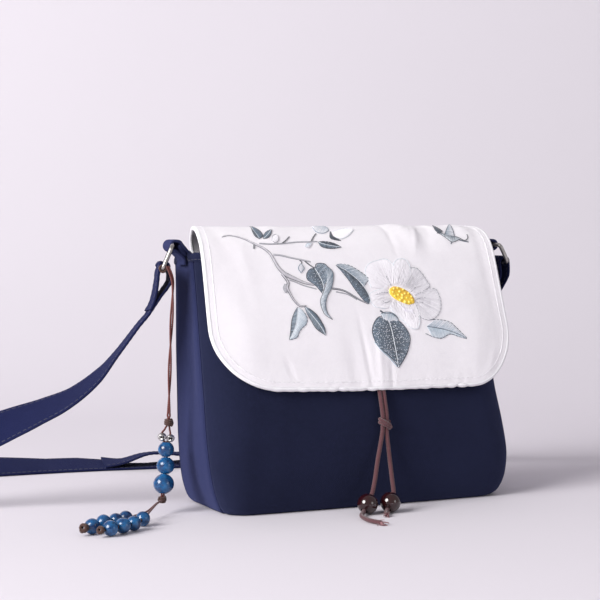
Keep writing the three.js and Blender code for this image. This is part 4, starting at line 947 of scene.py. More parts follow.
# %% Outlines of the leaves
# rib, left outline and right outline, from stalk to tip, then dark and light dye of each half and
# the share of flecks
LEAVES = {
    "top_leaf_a": ([(-65.3, 61.6), (-65.9, 58.2), (-66.4, 53.1), (-63.5, 39.8)],
        [(-65.3, 61.6), (-67.3, 59.7), (-67.7, 55.4), (-63.5, 39.8)],
        [(-65.3, 61.6), (-62.3, 59.3), (-62.2, 54.6), (-63.2, 48.8), (-63.5, 39.8)],
        "slate deep", "blue slate", 0.1),
    "top_leaf_b": ([(-62.5, 61.6), (-58.6, 58.2), (-53.3, 52.2)],
        [(-62.5, 61.6), (-61.4, 58.7), (-57.6, 54.6), (-53.3, 52.2)],
        [(-62.5, 61.6), (-59.3, 60.9), (-56.2, 57.8), (-53.3, 52.2)],
        "blue slate", "blue slate", 0.1),
    "dark_leaf": ([(-24.7, 64.5), (-20.1, 66.3), (-14.4, 67.7), (-8.8, 68.7)],
        [(-24.7, 64.5), (-20.7, 64), (-13.8, 65.5), (-8.8, 68.7)],
        [(-24.7, 64.5), (-23, 68), (-16.1, 69.6), (-8.8, 68.7)],
        "slate deep", "blue deep", 0.4),
    "wide_leaf": ([(-30.8, 83), (-28.9, 87.3), (-27.1, 92.3), (-27, 96.3), (-28.4, 100.3)],
        [(-30.8, 83), (-33.9, 83.5), (-37.1, 86.7), (-37.4, 90.3), (-34.3, 93.3), (-31.7, 95.6),
         (-29.3, 99.1), (-28.4, 100.3)],
        [(-30.8, 83), (-29.3, 80.3), (-26, 79.7), (-22.5, 80.8), (-21.2, 84.9), (-22.6, 90.1),
         (-26.1, 94.6), (-27, 96.3), (-28.4, 100.3)],
        "deep blue", "slate pale", 0.42),
    "long_leaf": ([(-15.3, 81.3), (-10.3, 84), (-5, 88.2), (-0.8, 92.3), (2.2, 96.4), (4.4, 101.1),
         (5.3, 105.2), (4, 108.3)],
        [(-15.3, 81.3), (-12.4, 85.1), (-8, 91.6), (-5.3, 96.8), (-2.4, 101.5), (0.5, 105.7), (4, 108.3)],
        None, "deep blue", "", 0.34),
    "long_leaf_light": ([(-15.3, 81.3), (-10.3, 84), (-5, 88.2), (-0.8, 92.3), (2.2, 96.4)], None,
        [(-15.3, 81.3), (-12.8, 80.6), (-6.2, 81.5), (-0.1, 85.1), (4.2, 88.4), (6.6, 91.3), (4.6, 93.8),
         (2.2, 96.4)],
        "", "blue mist", 0.25),
    "low_leaf_a": ([(-47, 109.2), (-48.1, 114.5), (-50.2, 121.3), (-52.8, 126.4), (-56, 131.5)],
        [(-47, 109.2), (-49.8, 112.7), (-52.4, 117.8), (-54.2, 124.7), (-56, 131.5)],
        [(-47, 109.2), (-43.9, 112.2), (-41.8, 116.3), (-42.9, 120.9), (-46.2, 123.7), (-48.3, 125.9),
         (-50.6, 129.9), (-56, 131.5)],
        "pale deep", "mist pale", 0.1),
    "low_leaf_b": ([(-42.3, 109.3), (-38.4, 114.6), (-34.5, 120.4), (-31.7, 125.6), (-30.4, 128.8)],
        [(-42.3, 109.3), (-41.2, 114), (-39.1, 119.2), (-36.3, 124.4), (-30.4, 128.8)],
        [(-42.3, 109.3), (-39, 110.8), (-34.8, 114.7), (-32.5, 118.8), (-30.5, 123.9), (-30.4, 128.8)],
        "pale deep", "blue deep", 0.1),
    "great_leaf": ([(16.3, 120.5), (17.2, 126.1), (17.8, 134), (18.3, 143), (18.6, 151.2)],
        [(16.3, 120.5), (10.1, 117.1), (5.9, 120.2), (3.1, 125.8), (3.4, 131.4), (6.5, 138.3),
         (12.5, 142.9), (16.5, 147.3), (18.6, 151.2)],
        [(16.3, 120.5), (22.7, 120), (27, 124.1), (29.9, 131), (27.7, 138.8), (23.7, 145.3), (18.6, 151.2)],
        "deep blue", "deep blue", 0.5),
    "side_leaf": ([(43.9, 124.6), (52, 125.9), (59.4, 127.8), (66.6, 130.5), (72.2, 133.4)],
        [(41.9, 129.3), (47.2, 131.7), (53.4, 132.8), (60.3, 130.2), (66.4, 132), (72.2, 133.7)],
        [(46.4, 120.1), (54.3, 120.3), (61.7, 122.2), (66.1, 126.3), (72.3, 133.1)],
        "pale mist", "pale white", 0.1),
}
leaf_runs = []
for rib, left, right, left_dye, right_dye, speck in LEAVES.values():
    for edge, dye in ((left, left_dye), (right, right_dye)):
        if edge is not None:
            pale = "mist" in dye or "white" in dye
            leaf_runs += satin(rib, edge, *dye.split(), speck=speck, lean=0.16, across=0.3,
                               stripe=0.3 if pale or "slate pale" in dye else 0.08)
            leaf_runs += running(edge, "slate" if pale else "deep", lift=0.26, dip=0.42 if pale else 0.16)
    leaf_runs += running(rib, "slate" if "white" in right_dye else "mist", lift=0.3)
print("threads in the leaves:", len(leaf_runs))

# %% Buds, a curled leaf and the swallow
# the two outlines, from foot to tip, then the dark and the light dye and an outline dye
SHAPES = {
    "curled": ([(-22.1, 81.6), (-18.5, 85.5), (-18.7, 90.2), (-21, 96.4), (-25, 102.1), (-27.2, 107.9),
         (-26.9, 113.7), (-24.1, 118.3)],
        [(-22.6, 90.1), (-25.8, 96.3), (-28.4, 100.9), (-30.7, 105.5), (-30.5, 110.2), (-28.9, 114.8),
         (-24.1, 118.3)], "blue mist grey"),
    "sepal": ([(11.4, 115.2), (15, 114.1), (19.8, 115), (23, 118.3), (23.1, 121.2)],
        [(11.3, 116), (12.2, 119.2), (14.8, 121.8), (18.9, 120.3), (23.1, 121.2)], "pale white slate"),
    "grey_bud": ([(-19.6, 42), (-12.7, 40.6), (-11.5, 47), (-13, 53.6)],
        [(-21.7, 46.4), (-22.4, 54.9), (-18.2, 56.6), (-13, 53.6)], "pale white blue"),
    "calyx": ([(-12.3, 54.3), (-12.3, 59.8), (-7.7, 63.5)],
        [(-12.5, 54.8), (-14.7, 61.3), (-11.2, 63), (-7.7, 63.5)], "deep slate deep"),
    "white_bud": ([(-11.5, 55.2), (-2.3, 51.3), (4.3, 50.6), (5.4, 53.4)],
        [(-12.5, 59.4), (-7.8, 62), (-1.4, 59.6), (5.4, 53.4)], "milk white mist"),
    "small_leaf": ([(-35, 67.8), (-32.6, 65.2), (-28.9, 65.3)], [(-35, 67.8), (-32.6, 68.8), (-28.9, 65.3)],
        "pale white silver"),
    "round_bud": ([(-57.2, 63.2), (-55.5, 59.4), (-52.9, 58), (-51.5, 59.8)],
        [(-57.2, 63.2), (-55.3, 64.8), (-52.7, 63.4), (-51.5, 59.8)], "silver white ash"),
    "hang_bud": ([(-40.2, 79.7), (-42.4, 82.8), (-41.1, 86.1)], [(-40.2, 79.7), (-38.3, 82.8), (-41.1, 86.1)],
        "silver mist blue"),
    "wing_left": ([(70.4, 43.6), (70.6, 50.3), (71.9, 55.5)], [(70.4, 43.6), (66.7, 54.9), (68.4, 58.9)],
        "deep slate deep"),
    "wing_up": ([(84.5, 42.1), (75.8, 53.7), (71.4, 59.9)], [(84.5, 42.1), (80.7, 53.9), (78.8, 60.6)],
        "blue white slate"),
    "bird_body": ([(68.5, 57.9), (72.3, 58.9), (78.8, 60.6), (83.2, 62.9)],
        [(68.2, 58.6), (71.6, 62.3), (75.1, 65.6), (83.2, 62.9)], "slate mist grey"),
    "swelling": ([(-53.6, 93.2), (-55.2, 96.3), (-54.1, 99.4)], [(-52.9, 93.3), (-52, 96.3), (-53.2, 99.4)],
        "ash silver ash"),
}
shape_runs = []
for a, b, dyes in SHAPES.values():
    dark, light, edge = dyes.split()
    shape_runs += satin(a, b, dark, light, lean=0.06, speck=0.04, pitch=0.36, across=0.35)
    shape_runs += running(a, edge, lift=0.26) + running(b, edge, lift=0.26)
print("threads in buds and the swallow:", len(shape_runs))

# %% Branches and fine lines
BRANCH = [(-90.6, 59.9), (-86.2, 58.7), (-81.2, 59.5), (-76, 61.5), (-71.5, 64.4), (-68, 66.6), (-63.9, 69.2),
          (-60.5, 72.8), (-58.4, 77.4), (-56.7, 81.5), (-53.8, 85.5), (-50.6, 87.8), (-45.1, 90.4),
          (-39.6, 92.8), (-33.3, 94.4)]
FORK = [(-54.6, 86.6), (-52.2, 90.1), (-51.1, 92.6), (-52.1, 95.8), (-51.2, 99.2), (-49.5, 103.4),
        (-47.2, 106.9), (-45.1, 108.7), (-41, 108.5)]
# line, width, edge dye, fill dye
STEMS = [
    ([(-49.9, 90.7), (-45.5, 92.5), (-41, 94.5), (-32, 97.3)], 0.5, "ash", "silver"),
    ([(-66.3, 65.3), (-58.5, 65.9), (-50.1, 65.5), (-40.1, 64.3), (-30.5, 64.2), (-24.9, 64)], 0.6, "ash", "silver"),
    ([(-50.7, 65.5), (-47, 62.8), (-43.5, 59.5)], 0.5, "grey", "ash"),
    ([(-29.4, 63.9), (-27, 60.6), (-23.3, 56.5)], 0.5, "grey", "slate"),
    ([(-58.3, 73.4), (-53.1, 74), (-47.4, 75.4), (-41.6, 76.6), (-37, 77.6), (-33, 78.6)], 0.8, "ash", "silver"),
    ([(-40.5, 77.3), (-39.4, 78.8), (-40.1, 80.1)], 0.5, "grey", "ash"),
    ([(-37.1, 78), (-34, 80.9), (-30.8, 83)], 0.6, "grey", "slate"),
    ([(-21.1, 97.1), (-16.4, 97.7), (-11.8, 99.2), (-6.3, 102.6), (-1.9, 105.6), (3.2, 108)], 0.9, "grey", "ash"),
    ([(-18.5, 99.4), (-10.9, 101.3), (-4.3, 105.2)], 0.4, "ash", "ash"),
    ([(-70, 66.3), (-70.9, 69.3)], 1.0, "grey", "ash"),
    ([(11.2, 112.9), (13.6, 115), (19.1, 115.5), (22.9, 118.9)], 0.7, "deep", "slate"),
    ([(76.4, 61.7), (80.9, 63.7), (85.4, 65.1), (88.2, 65.5)], 0.4, "slate", "slate"),
    ([(78.8, 60.6), (82.1, 62.3), (85.3, 64.4), (88.5, 62.5), (89.2, 59.1)], 0.4, "grey", "grey"),
    ([(68.4, 58.2), (66.6, 57.5)], 0.5, "deep", "deep"),
    ([(75.1, 65.6), (73.9, 67.1)], 0.4, "slate", "slate"),
    ([(3.7, 133.7), (7.5, 139.7), (12.9, 144.5), (17.8, 150.4)], 0.5, "pale", "mist"),
]
stem_runs = stem(BRANCH, [(0, .3), (.16, .7), (.4, 1.3), (.6, 1.6), (.74, 2.6), (.84, 1.8), (1, .8)],
                 "grey", "silver")
stem_runs += stem(FORK, [(0, 1.2), (.3, 1.4), (.5, 1.0), (.9, .9), (1, .5)], "deep", "silver")
for line, wide, edge, fill in STEMS:
    stem_runs += stem(line, [(0, wide), (1, wide * 0.7)], edge, fill)
print("threads in the branches:", len(stem_runs))

# %% The flower
# inner and outer outline of each petal
PETALS = {
    "left": ([(22.2, 109.1), (19.8, 102.1), (19.4, 97.4)],
        [(15.4, 111.8), (7.7, 109.9), (5.2, 105.8), (5.5, 101.7), (9.7, 99.5), (16.8, 97.6)]),
    "up_left": ([(19.2, 98.6), (21.6, 95.7), (24.3, 94.6)],
        [(7.6, 97.1), (5.8, 91.3), (5.1, 85.5), (8.7, 80.9), (15.4, 78.6), (21.8, 77.8), (26.8, 81.5)]),
    "right": ([(37.7, 101.9), (38.6, 105.4), (37.6, 108.6)],
        [(44.6, 100.9), (54.6, 99), (56.9, 104), (56.5, 112.2), (52.4, 117.9), (46.6, 120.3),
         (40.6, 118.6), (37.9, 113.6)]),
    "bottom": ([(37.4, 108.3), (32.2, 109.4), (26.4, 106.9), (22.6, 105.6)],
        [(39.3, 117), (38.7, 122.2), (36.1, 125.9), (31.8, 125.4), (28.4, 121.9), (24.3, 118.1),
         (20.6, 114.3), (18.8, 110.4)]),
    "right_top": ([(30.7, 97.1), (35.4, 99), (37.9, 102.5)],
        [(37.6, 84.4), (43.3, 84.4), (47, 88.6), (50.1, 94.5), (51.2, 96.7), (47.5, 99.4), (41.9, 101.6)]),
    "top": ([(23, 95), (27.3, 95.3), (31.4, 97.1)],
        [(25.8, 83), (28.4, 79.5), (32, 77.7), (36.3, 78.4), (38.6, 82.4), (37.7, 88.5)]),
}
FILAMENTS = [
    [(39.1, 106), (43.1, 105.3), (47, 105)], [(38.6, 103.5), (43.2, 101.7), (46.9, 102.2)],
    [(38.5, 107.9), (41.8, 108.6), (44.9, 107.8)], [(36.4, 100.7), (40.2, 97.3), (40.1, 93.2)],
    [(22.1, 96.3), (20.4, 91.6), (19.5, 88.7)], [(19.3, 100.9), (14.4, 100.8), (9.1, 102.4)],
    [(33.4, 109.4), (35.1, 114.1), (36.5, 118.7)], [(20.2, 106.2), (16.2, 107.8), (13.9, 106.6)],
    [(38.5, 109.5), (38.7, 114.7), (38.2, 121)]]
petal_runs = []
for i, (name, (inner_line, outer_line)) in enumerate(PETALS.items()):
    near_light = name in ("right_top", "right")
    petal_runs += satin(inner_line, outer_line, "silver" if near_light else "milk", "white", pitch=0.36,
                        lean=0.0, lift=0.06 + 0.03 * i, bulge=0.22, start=0.6, caught=4.4)
    petal_runs += running(outer_line, "ash" if near_light else "mist", lift=0.26 + 0.03 * i,
                          dip=0.45 if near_light else 0.16)
for line in FILAMENTS:
    petal_runs += running(line, "ash", lift=0.42, step=1.9, dip=0.4)
petal_runs += satin([(24, 106.6), (29, 110.8), (35, 112)], [(26, 109.6), (30, 114.5), (35, 116)],
                    "lilac", "white", lift=0.3)
print("threads in the petals:", len(petal_runs))

# %% Stamens
HEART_A = [(20.6, 98.6), (24, 96.9), (29.6, 98), (34.6, 101), (37.6, 105.8), (37.2, 108.4)]
HEART_B = [(20.6, 98.6), (20.4, 101.6), (24, 105.4), (29, 108), (33.6, 109.4), (37.2, 108.4)]
heart_runs = satin(HEART_A, HEART_B, "gold", "yellow", pitch=0.36, lean=0.0, lift=0.3, bulge=0.6,
                   caught=2.2)
HEART_X, HEART_S, HEART_LONG, HEART_WIDE, HEART_LEAN = 29, 103, 8.6, 4.6, math.radians(29)
KNOT_R, KNOT_HEIGHT = 0.86, 0.8
knots = []
for ring_share, count in ((0.0, 1), (0.42, 5), (0.86, 11)):
    for k in range(count):
        a = 2 * np.pi * (k + PICK.uniform(-0.2, 0.2)) / count
        q = np.array([HEART_LONG * ring_share * np.cos(a), HEART_WIDE * ring_share * np.sin(a)])
        knots.append((HEART_X + q[0] * math.cos(HEART_LEAN) - q[1] * math.sin(HEART_LEAN),
                      HEART_S + q[0] * math.sin(HEART_LEAN) + q[1] * math.cos(HEART_LEAN)))
print("knots:", len(knots))

# %% The embroidery's pieces
for name, runs in (("branch_threads", stem_runs), ("leaf_threads", leaf_runs),
                   ("bud_threads", shape_runs), ("petal_threads", petal_runs),
                   ("stamen_threads", heart_runs)):
    settle(thread_piece(name, runs, silk))
knot_look = Look("knot_thread", roughness=0.5, sheen_weight=0.3)
knot_look.colour(knot_look.blend(knot_look.noise(700.0), rgb(246, 208, 40), rgb(255, 246, 150)))
knot_look.bump(knot_look.noise(1500.0), 0.0001)
mesh = bpy.data.meshes.new("stamen_knots")
mesh.from_pydata((on_flap(knots, np.full(len(knots), KNOT_HEIGHT)) * MM).tolist(), [], [])
settle(grown(shown("stamen_knots", mesh), knot_tree, Size=KNOT_R * MM, Look=knot_look.material, Seed=4))

# %% [markdown]
# ## Sewing
# Rows of short stitches hold the flap's edge, the hem and both edges of the strap. Each stitch is a
# thread that rises from the cloth, runs along it and dives in again.

# %% Rows of stitches
def stitch_row(line, up, dye, long=2.5, gap=0.8, high=0.16):
    """Stitches along a 3-D line that has an upward direction at every point."""
    s = measured(line)
    runs = []
    for first in np.arange(0.4, s[-1] - long, long + gap):
        at = first + long * np.array([0, 0.12, 0.5, 0.88, 1.0])
        lift = high * np.array([-1.2, 0.8, 1.0, 0.8, -1.2])
        q = np.stack([np.interp(at, s, line[:, k]) for k in range(3)], 1)
        n = unit(np.stack([np.interp(at, s, up[:, k]) for k in range(3)], 1))
        runs.append((q + n * lift[:, None], np.asarray(dye[:3]) * PICK.uniform(0.85, 1.15)))
    return runs


NAVY_THREAD, WHITE_THREAD = rgb(34, 38, 66), rgb(240, 237, 242)
outline = np.vstack([np.stack([X[6:, 0], S[6:, 0]], 1), np.stack([X[-1, 1:-1], S[-1, 1:-1]], 1),
                     np.stack([X[6:, -1], S[6:, -1]], 1)[::-1]])
outline = evenly(outline, 1.5)
inward = unit(np.gradient(outline, axis=0))[:, ::-1] * (1, -1)
inward *= np.sign(((np.array([0, FLAP_LENGTH / 2]) - outline) * inward).sum(1))[:, None]
STITCH_INSET = 3.3
row = outline + inward * STITCH_INSET
runs = stitch_row(on_flap(row, np.zeros(len(row))), flap_normal(row[:, 0], row[:, 1]) * flap_side,
                  WHITE_THREAD, high=0.13)
settle(thread_piece("flap_stitches", runs, cotton_thread, 0.19, 4), "pale")
hem_line = mouth_ring(MOUTH_Z - HEM_HEIGHT + 1.2, -PROUD - 0.08)
hem_line = evenly(np.vstack([hem_line, hem_line[:1]]), 1.2)
hem_up = unit(np.cross(np.gradient(hem_line, axis=0), (0, 0, 1)))
hem_up *= np.sign((hem_up * (hem_line - hem_line.mean(0)) * (1, 1, 0)).sum(1))[:, None]
runs = stitch_row(hem_line, hem_up, NAVY_THREAD)
settle(thread_piece("hem_stitches", runs, cotton_thread, 0.17, 4), "navy")

# %% [markdown]
# ## Bent wire, cloth tabs and the strap
# The rings are bent from nickel-plated wire. The tabs are short loops of the bag's cloth, with its
# turned-in end as a wedge between the layers. The
# strap is a flat woven band, and it isn't a free cord: it is modelled directly, along the line in
# which it has fallen.

# %% Where the rings hang
RING_WIRE, RING_LONG, RING_DROP, RING_CORNER, RING_Y = 1.4, 31.0, 13.4, 2.4, 12.0
hem_left, hem_right = (float(section(MOUTH_Z, k)) + PROUD for k in ("left", "right"))
LEFT_TOP = vec(-hem_left - 8.3 + 0.6, RING_Y, MOUTH_Z + 7.3)
RIGHT_TOP = vec(hem_right + 14.2 - 0.6, RING_Y, MOUTH_Z + 7.3)
LEFT_BOTTOM = LEFT_TOP + vec(-0.41, 0, -0.912) * (RING_DROP + 2.2)
RIGHT_BOTTOM = RIGHT_TOP + vec(0.475, 0, -0.88) * RING_DROP
LEFT_ALONG, RIGHT_ALONG = unit(vec(0.34, 0.94, 0)), vec(0, 1, 0)


# %% Metal
metal = Look("nickel", metallic=1.0, roughness=0.3)
scuff = metal.noise(260.0, 3.0, 0.6)
metal.colour(metal.blend(scuff, rgb(120, 116, 112), rgb(205, 202, 198)))
metal.roughness(0.2 + 0.3 * scuff)
metal.bump(metal.noise(900.0), 0.00003)
nickel = metal.material


def wire_ring(name, top, bottom, along, node):
    centre, down = (top + bottom) / 2, unit(bottom - top)
    a, b, r = RING_LONG / 2, np.linalg.norm(top - bottom) / 2, RING_CORNER
    path = []
    for sx, sy, first in ((1, 1, 0), (-1, 1, 90), (-1, -1, 180), (1, -1, 270)):
        for q in np.radians(first + np.linspace(0, 90, 9)):
            path.append((sx * (a - r) + r * np.cos(q), sy * (b - r) + r * np.sin(q)))
    path = np.array(path)
    path = evenly(np.vstack([path, path[:1]]), 0.8)[:-1]
    ahead = np.roll(path, -1, 0) - np.roll(path, 1, 0)
    ahead /= np.linalg.norm(ahead, axis=1)[:, None]
    out = along * ahead[:, 1:] - down * ahead[:, :1]
    face = np.cross(along, down)
    place = centre + along * path[:, :1] + down * path[:, 1:]
    q = np.linspace(0, 2 * np.pi, 16, endpoint=False)
    ring = place[:, None] + RING_WIRE * (np.cos(q)[None, :, None] * out[:, None]
                                         + np.sin(q)[None, :, None] * face)
    obj = make_piece(name, ring, [grid_quads(len(path), 16, True, True)], nickel)
    return settle(obj, "metal", node)


wire_ring("ring_left_wire", LEFT_TOP, LEFT_BOTTOM, LEFT_ALONG, "ring_left")
wire_ring("ring_right_wire", RIGHT_TOP, RIGHT_BOTTOM, RIGHT_ALONG, "ring_right")


# %% A flat band along a line
def band(name, rows, width, thick, look, node, step):
    """rows: x, y, z, width direction (3), share on the floor. Returns the line and its directions."""
    rows = np.asarray(rows, float)
    steps = max(int(length_of(rows[:, :3]) / step), 24)
    p = curve(rows[:, :3], steps)
    t = np.linspace(0, len(rows) - 1, steps + 1)
    side = np.stack([np.interp(t, np.arange(len(rows)), unit(rows[:, 3:6])[:, k]) for k in range(3)], 1)
    rest = np.interp(t, np.arange(len(rows)), rows[:, 6])
    along = unit(np.gradient(p, axis=0))
    side = unit(side - along * (side * along).sum(1)[:, None])
    up = np.cross(along, side)
    floor = np.abs(side[:, 2]) * width / 2 + np.abs(up[:, 2]) * thick / 2 + 0.03
    p[:, 2] = np.maximum(p[:, 2] + (floor - p[:, 2]) * rest, floor)
    # a flattened section with soft edges and two sewn grooves
    half, t2 = width / 2, thick / 2
    across = np.array([-1, -.97, -.9, -.86, -.82, -.74, -.4, 0, .4, .74, .82, .86, .9, .97, 1.0])
    high = np.array([.25, .85, 1, .72, .98, 1.06, 1.08, 1.1, 1.08, 1.06, .98, .72, 1, .85, .25])
    sec = np.vstack([np.stack([across * half, high * t2 * 0.94], 1),
                     np.stack([across[::-1] * half, -high[::-1] * t2 * 0.94], 1)])
    ring = p[:, None] + sec[None, :, :1] * side[:, None] + sec[None, :, 1:] * up[:, None]
    s = measured(p)
    girth = measured(sec)
    uv = np.stack(np.broadcast_arrays(girth[None, :], s[:, None]), -1)
    n = len(sec)
    cap = np.array([[k, k + 1, n - 2 - k, n - 1 - k] for k in range(n // 2 - 1)])
    faces = [grid_quads(len(p), n, wrap_cols=True), cap, cap[:, ::-1] + (len(p) - 1) * n]
    settle(make_piece(name, ring, faces, look, uv, sharp=50), "navy", node)
    return p, side, up


def turn(bar, along, first, last, count, r):
    a = np.radians(np.linspace(first, last, count))
    return [(bar[0] + r * np.cos(q), bar[1], bar[2] + r * np.sin(q), *along, 0) for q in a]


# %% Tabs
TAB_W, TAB_T, TAB_CLEAR = 14.0, 1.8, 0.95


def tab_rows(side, bar, hem_x, along):
    r = RING_WIRE + TAB_CLEAR + TAB_T / 2
    rows, bx = [], side * bar[0]

    def push(x, z, lean):
        w = vec(0, 1, 0) * (1 - lean) + along * lean
        rows.append((side * x, RING_Y, z, *w, 0))

    seat = hem_x + GAP + TAB_T / 2
    push(hem_x - 1.4, MOUTH_Z + 2.6, 0)
    push(hem_x + 0.5, MOUTH_Z + 5.0, 0)
    push(hem_x + 2.9, bar[2] + 0.5, 0.4)
    push(hem_x + (bx - hem_x) * 0.62, bar[2] + 2.7, 1)
    for a in np.radians([100, 60, 20, -20, -60, -95]):
        push(bx + r * np.cos(a), bar[2] + r * np.sin(a), 1)
    push(bx + (hem_x - bx) * 0.36, bar[2] - 5.0, 1)
    push(seat + 0.3, bar[2] - 8.6, 0.2)
    push(seat, bar[2] - 12, 0)
    return rows


# the tabs take the lighter navy copy: painted light on the sides
for name, side, bar, hem_x in (("tab_left", -1, LEFT_TOP, hem_left), ("tab_right", 1, RIGHT_TOP, hem_right)):
    band(name + "_loop", tab_rows(side, bar, hem_x, vec(0, 1, 0)), TAB_W, TAB_T, lit_side_navy, name, 0.8)


def tab_core(name, side, bar, hem_x):
    """The turned-in end of the tab, a soft wedge that fills the loop beside the ring."""
    wedge = np.array([(0.2, -5.4), (1.4, -2.6), (3.2, -0.2), (4.9, 1.2), (5.7, -0.2), (5.5, -2.4),
                      (4.2, -4.2), (2.2, -6.0), (0.5, -7.0)])
    wedge = evenly(np.vstack([wedge, wedge[:1]]), 0.7)[:-1]
    middle = wedge.mean(0)
    rows = []
    for y, share in ((-6.6, 0.0), (-6.6, 0.75), (-6.3, 0.95), (0, 1), (6.3, 0.95), (6.6, 0.75), (6.6, 0.0)):
        q = middle + (wedge - middle) * max(share, 0.01)
        rows.append(np.stack([side * (hem_x + q[:, 0]), np.full(len(q), bar[1] + y), bar[2] + q[:, 1]], 1))
    rows = np.array(rows)
    uv = np.stack(np.meshgrid(np.arange(rows.shape[1]) * 0.7, (0, 2, 3, 9, 15, 16, 18)), -1)
    # the lighter navy copy here is painted light on the sides
    obj = make_piece(name, rows, [grid_quads(*rows.shape[:2], wrap_cols=True)], lit_side_navy, uv, sharp=60)
    return settle(obj, "navy")


tab_core("tab_left_core", -1, LEFT_TOP, hem_left)
tab_core("tab_right_core", 1, RIGHT_TOP, hem_right)

# %% Places of the strap
STRAP_W, STRAP_T, STRAP_CLEAR = 24.0, 1.8, 1.1
# place (from the left ring's bar, free, or from the right ring's), width direction, share on the
# floor, and how far the doubled layer lies off it
STRAP_LEFT_END = [(-10.8, -1.6, -26.8, .24, .97, 0), (-8.4, -1.8, -22.6, .24, .97, 0),
                  (-6.3, -2, -15.6, .24, .97, 0), (-5.2, -2, -9, .25, .968, 0), (-4.1, -1.4, -3.2, .28, .96, 0)]
STRAP_LEFT_RUN = [
    (4.1, -0.4, -4, .24, .97, 0), (3.8, -0.8, -7.9, .22, .975, 0), (0.9, -1.2, -12.6, .22, .975, 0),
    (-2.9, -1.4, -17.4, .24, .97, 0), (-6.9, -1.6, -23.1, .26, .965, 0),
    (-11, -1.2, -29.2, .28, .96, 0), (-16.2, 0, -35.4, .3, .95, .04)]
STRAP_FREE = [
    (-150.9, 16, 100.5, .35, .92, .17, 0, 0), (-162.9, 20, 85.4, .34, .87, .36, 0, 0),
    (-179.5, 26, 71.7, .32, .82, .45, 0, 0), (-196.7, 34, 62.8, .28, .73, .6, 0, 0),
    (-218.8, 44, 53, .18, .52, .83, 0, 0), (-252, 54, 38, .05, .3, .95, 0, 0),
    (-290, 62, 22, 0, .15, .98, 0, 0), (-330, 72, 13.4, 0, 0, 1, 1, 0), (-362, 92, 12.6, 0, 0, 1, 1, 0),
    (-376, 126, 12.6, 0, 0, 1, 1, 0), (-364, 160, 12.6, .05, -.05, 1, 1, 0),
    (-330, 180, 12.2, 0, .25, .97, 1, 0), (-285, 188, 10.4, 0, .5, .86, 1, 0),
    (-235, 191, 8.2, 0, .72, .66, 1, 0), (-185, 192, 7.6, 0, .9, .43, 1, 0),
    (-147, 191, 5, 0, .95, .28, 1, 0), (-124, 189, 4, 0, .96, .26, 1, 0),
    (-106, 187, 3.4, .05, .98, .17, 1, 1.9),
    (-92, 184.6, 3.4, .05, .995, .03, 1, 4.2), (-72, 181, 3.4, .1, .99, .0, 1, 8),
    (-30, 174, 3.4, .15, .98, .08, 1, 6.4), (20, 164, 5, .3, .9, .3, 1, 4),
    (68, 144, 12, .45, .85, .25, .3, 3.4), (103, 110, 34, .65, .75, 0, 0, 3.2),
    (119, 72, 72, .9, .35, -.04, 0, 3), (124, 40, 108, .93, .32, .14, 0, 3)]
STRAP_RIGHT_END = [(0, 11.5, -28.7, .62, .72, .3, 0, 3.6), (2.2, 2.6, -16.7, .25, .95, .12, 0, 4.8),
                   (3.5, .1, -8.1, 0, 1, 0, 0, 5.8)]
STRAP_FACE = unit(vec(0.28, 0.96, 0))
LAYER_TOUCH, LAYER_TILT, LEFT_SNUG = 1.9, 0.02, 0.6
print("strap points between the rings:", len(STRAP_FREE))


# %% Strap line
def strap_rows():
    r = RING_WIRE + STRAP_CLEAR + STRAP_T / 2
    rows = [(*(LEFT_BOTTOM + vec(*q[:3])), *q[3:], 0, 0) for q in STRAP_LEFT_END]
    rows += [(*q, 0) for q in turn(LEFT_BOTTOM, STRAP_FACE, 170, 0, 5, r - LEFT_SNUG)]
    rows += [(*(LEFT_BOTTOM + vec(*q[:3])), *q[3:], 0, 0) for q in STRAP_LEFT_RUN]
    rows += STRAP_FREE
    rows += [(*(RIGHT_BOTTOM + vec(*q[:3])), *q[3:]) for q in STRAP_RIGHT_END]
    rows = np.array(rows, float)
    line = curve(rows[:, :3], 40 * (len(rows) - 1))
    along = unit(np.gradient(line, axis=0))[::40]
    back = []
    for q, t in zip(rows, along):
        if q[7] == 0:
            continue
        w = unit(q[3:6] - t * np.dot(q[3:6], t))
        n = np.cross(t, w) * q[7]
        w = unit(w - vec(0, 0, LAYER_TILT * (q[7] - LAYER_TOUCH)) * q[6])
        low = abs(w[2]) * STRAP_W / 2 + STRAP_T / 2 if q[6] else q[2]
        z = q[2] + (low - q[2]) * q[6] + n[2]
        back.insert(0, (q[0] + n[0], q[1] + n[1], z, *w, 0))
    return [tuple(q[:7]) for q in rows] + turn(RIGHT_BOTTOM, RIGHT_ALONG, -10, 172, 5, r) + back


mid_line, across, upward = band("strap_webbing", strap_rows(), STRAP_W, STRAP_T, webbing, "strap", 2.2)
print("strap length, mm:", round(length_of(mid_line)))
SEWN_ACROSS, SEWN_UP = 0.42, 0.36
runs = []
for edge_side in (-1, 1):
    for face_side in (-1, 1):
        sewn = (mid_line + across * edge_side * STRAP_W * SEWN_ACROSS
                + upward * face_side * STRAP_T * SEWN_UP)
        runs += stitch_row(sewn, upward * face_side, NAVY_THREAD, 2.8, 1.0, 0.2)
settle(thread_piece("strap_stitches", runs, cotton_thread, 0.2, 4), "navy")
print("strap stitches:", len(runs))

# %% [markdown]
# ## Closure cords
# Two brown cords come out from under the flap, are bound together by a wrapped knot, pass through
# a dark bead each and lie with their ends on the floor. They hang from the flap, so they are free
# cords, and each keeps the length that the picture shows.

# %% Thread and cord looks
def spun(name, base, light):
    look = Look(name, roughness=0.75, sheen_weight=0.3, specular_ior_level=0.35)
    u, v = look.uv()
    fibre = abs(((u * 2600.0 + v * 5200.0)).sine())
    fine = look.noise(700.0, 3.0, 0.65)
    look.colour(look.blend(fibre * 0.45 + fine * 0.6, base, light))
    look.bump(fibre * 0.6 + fine, 0.00012)
    return look.material


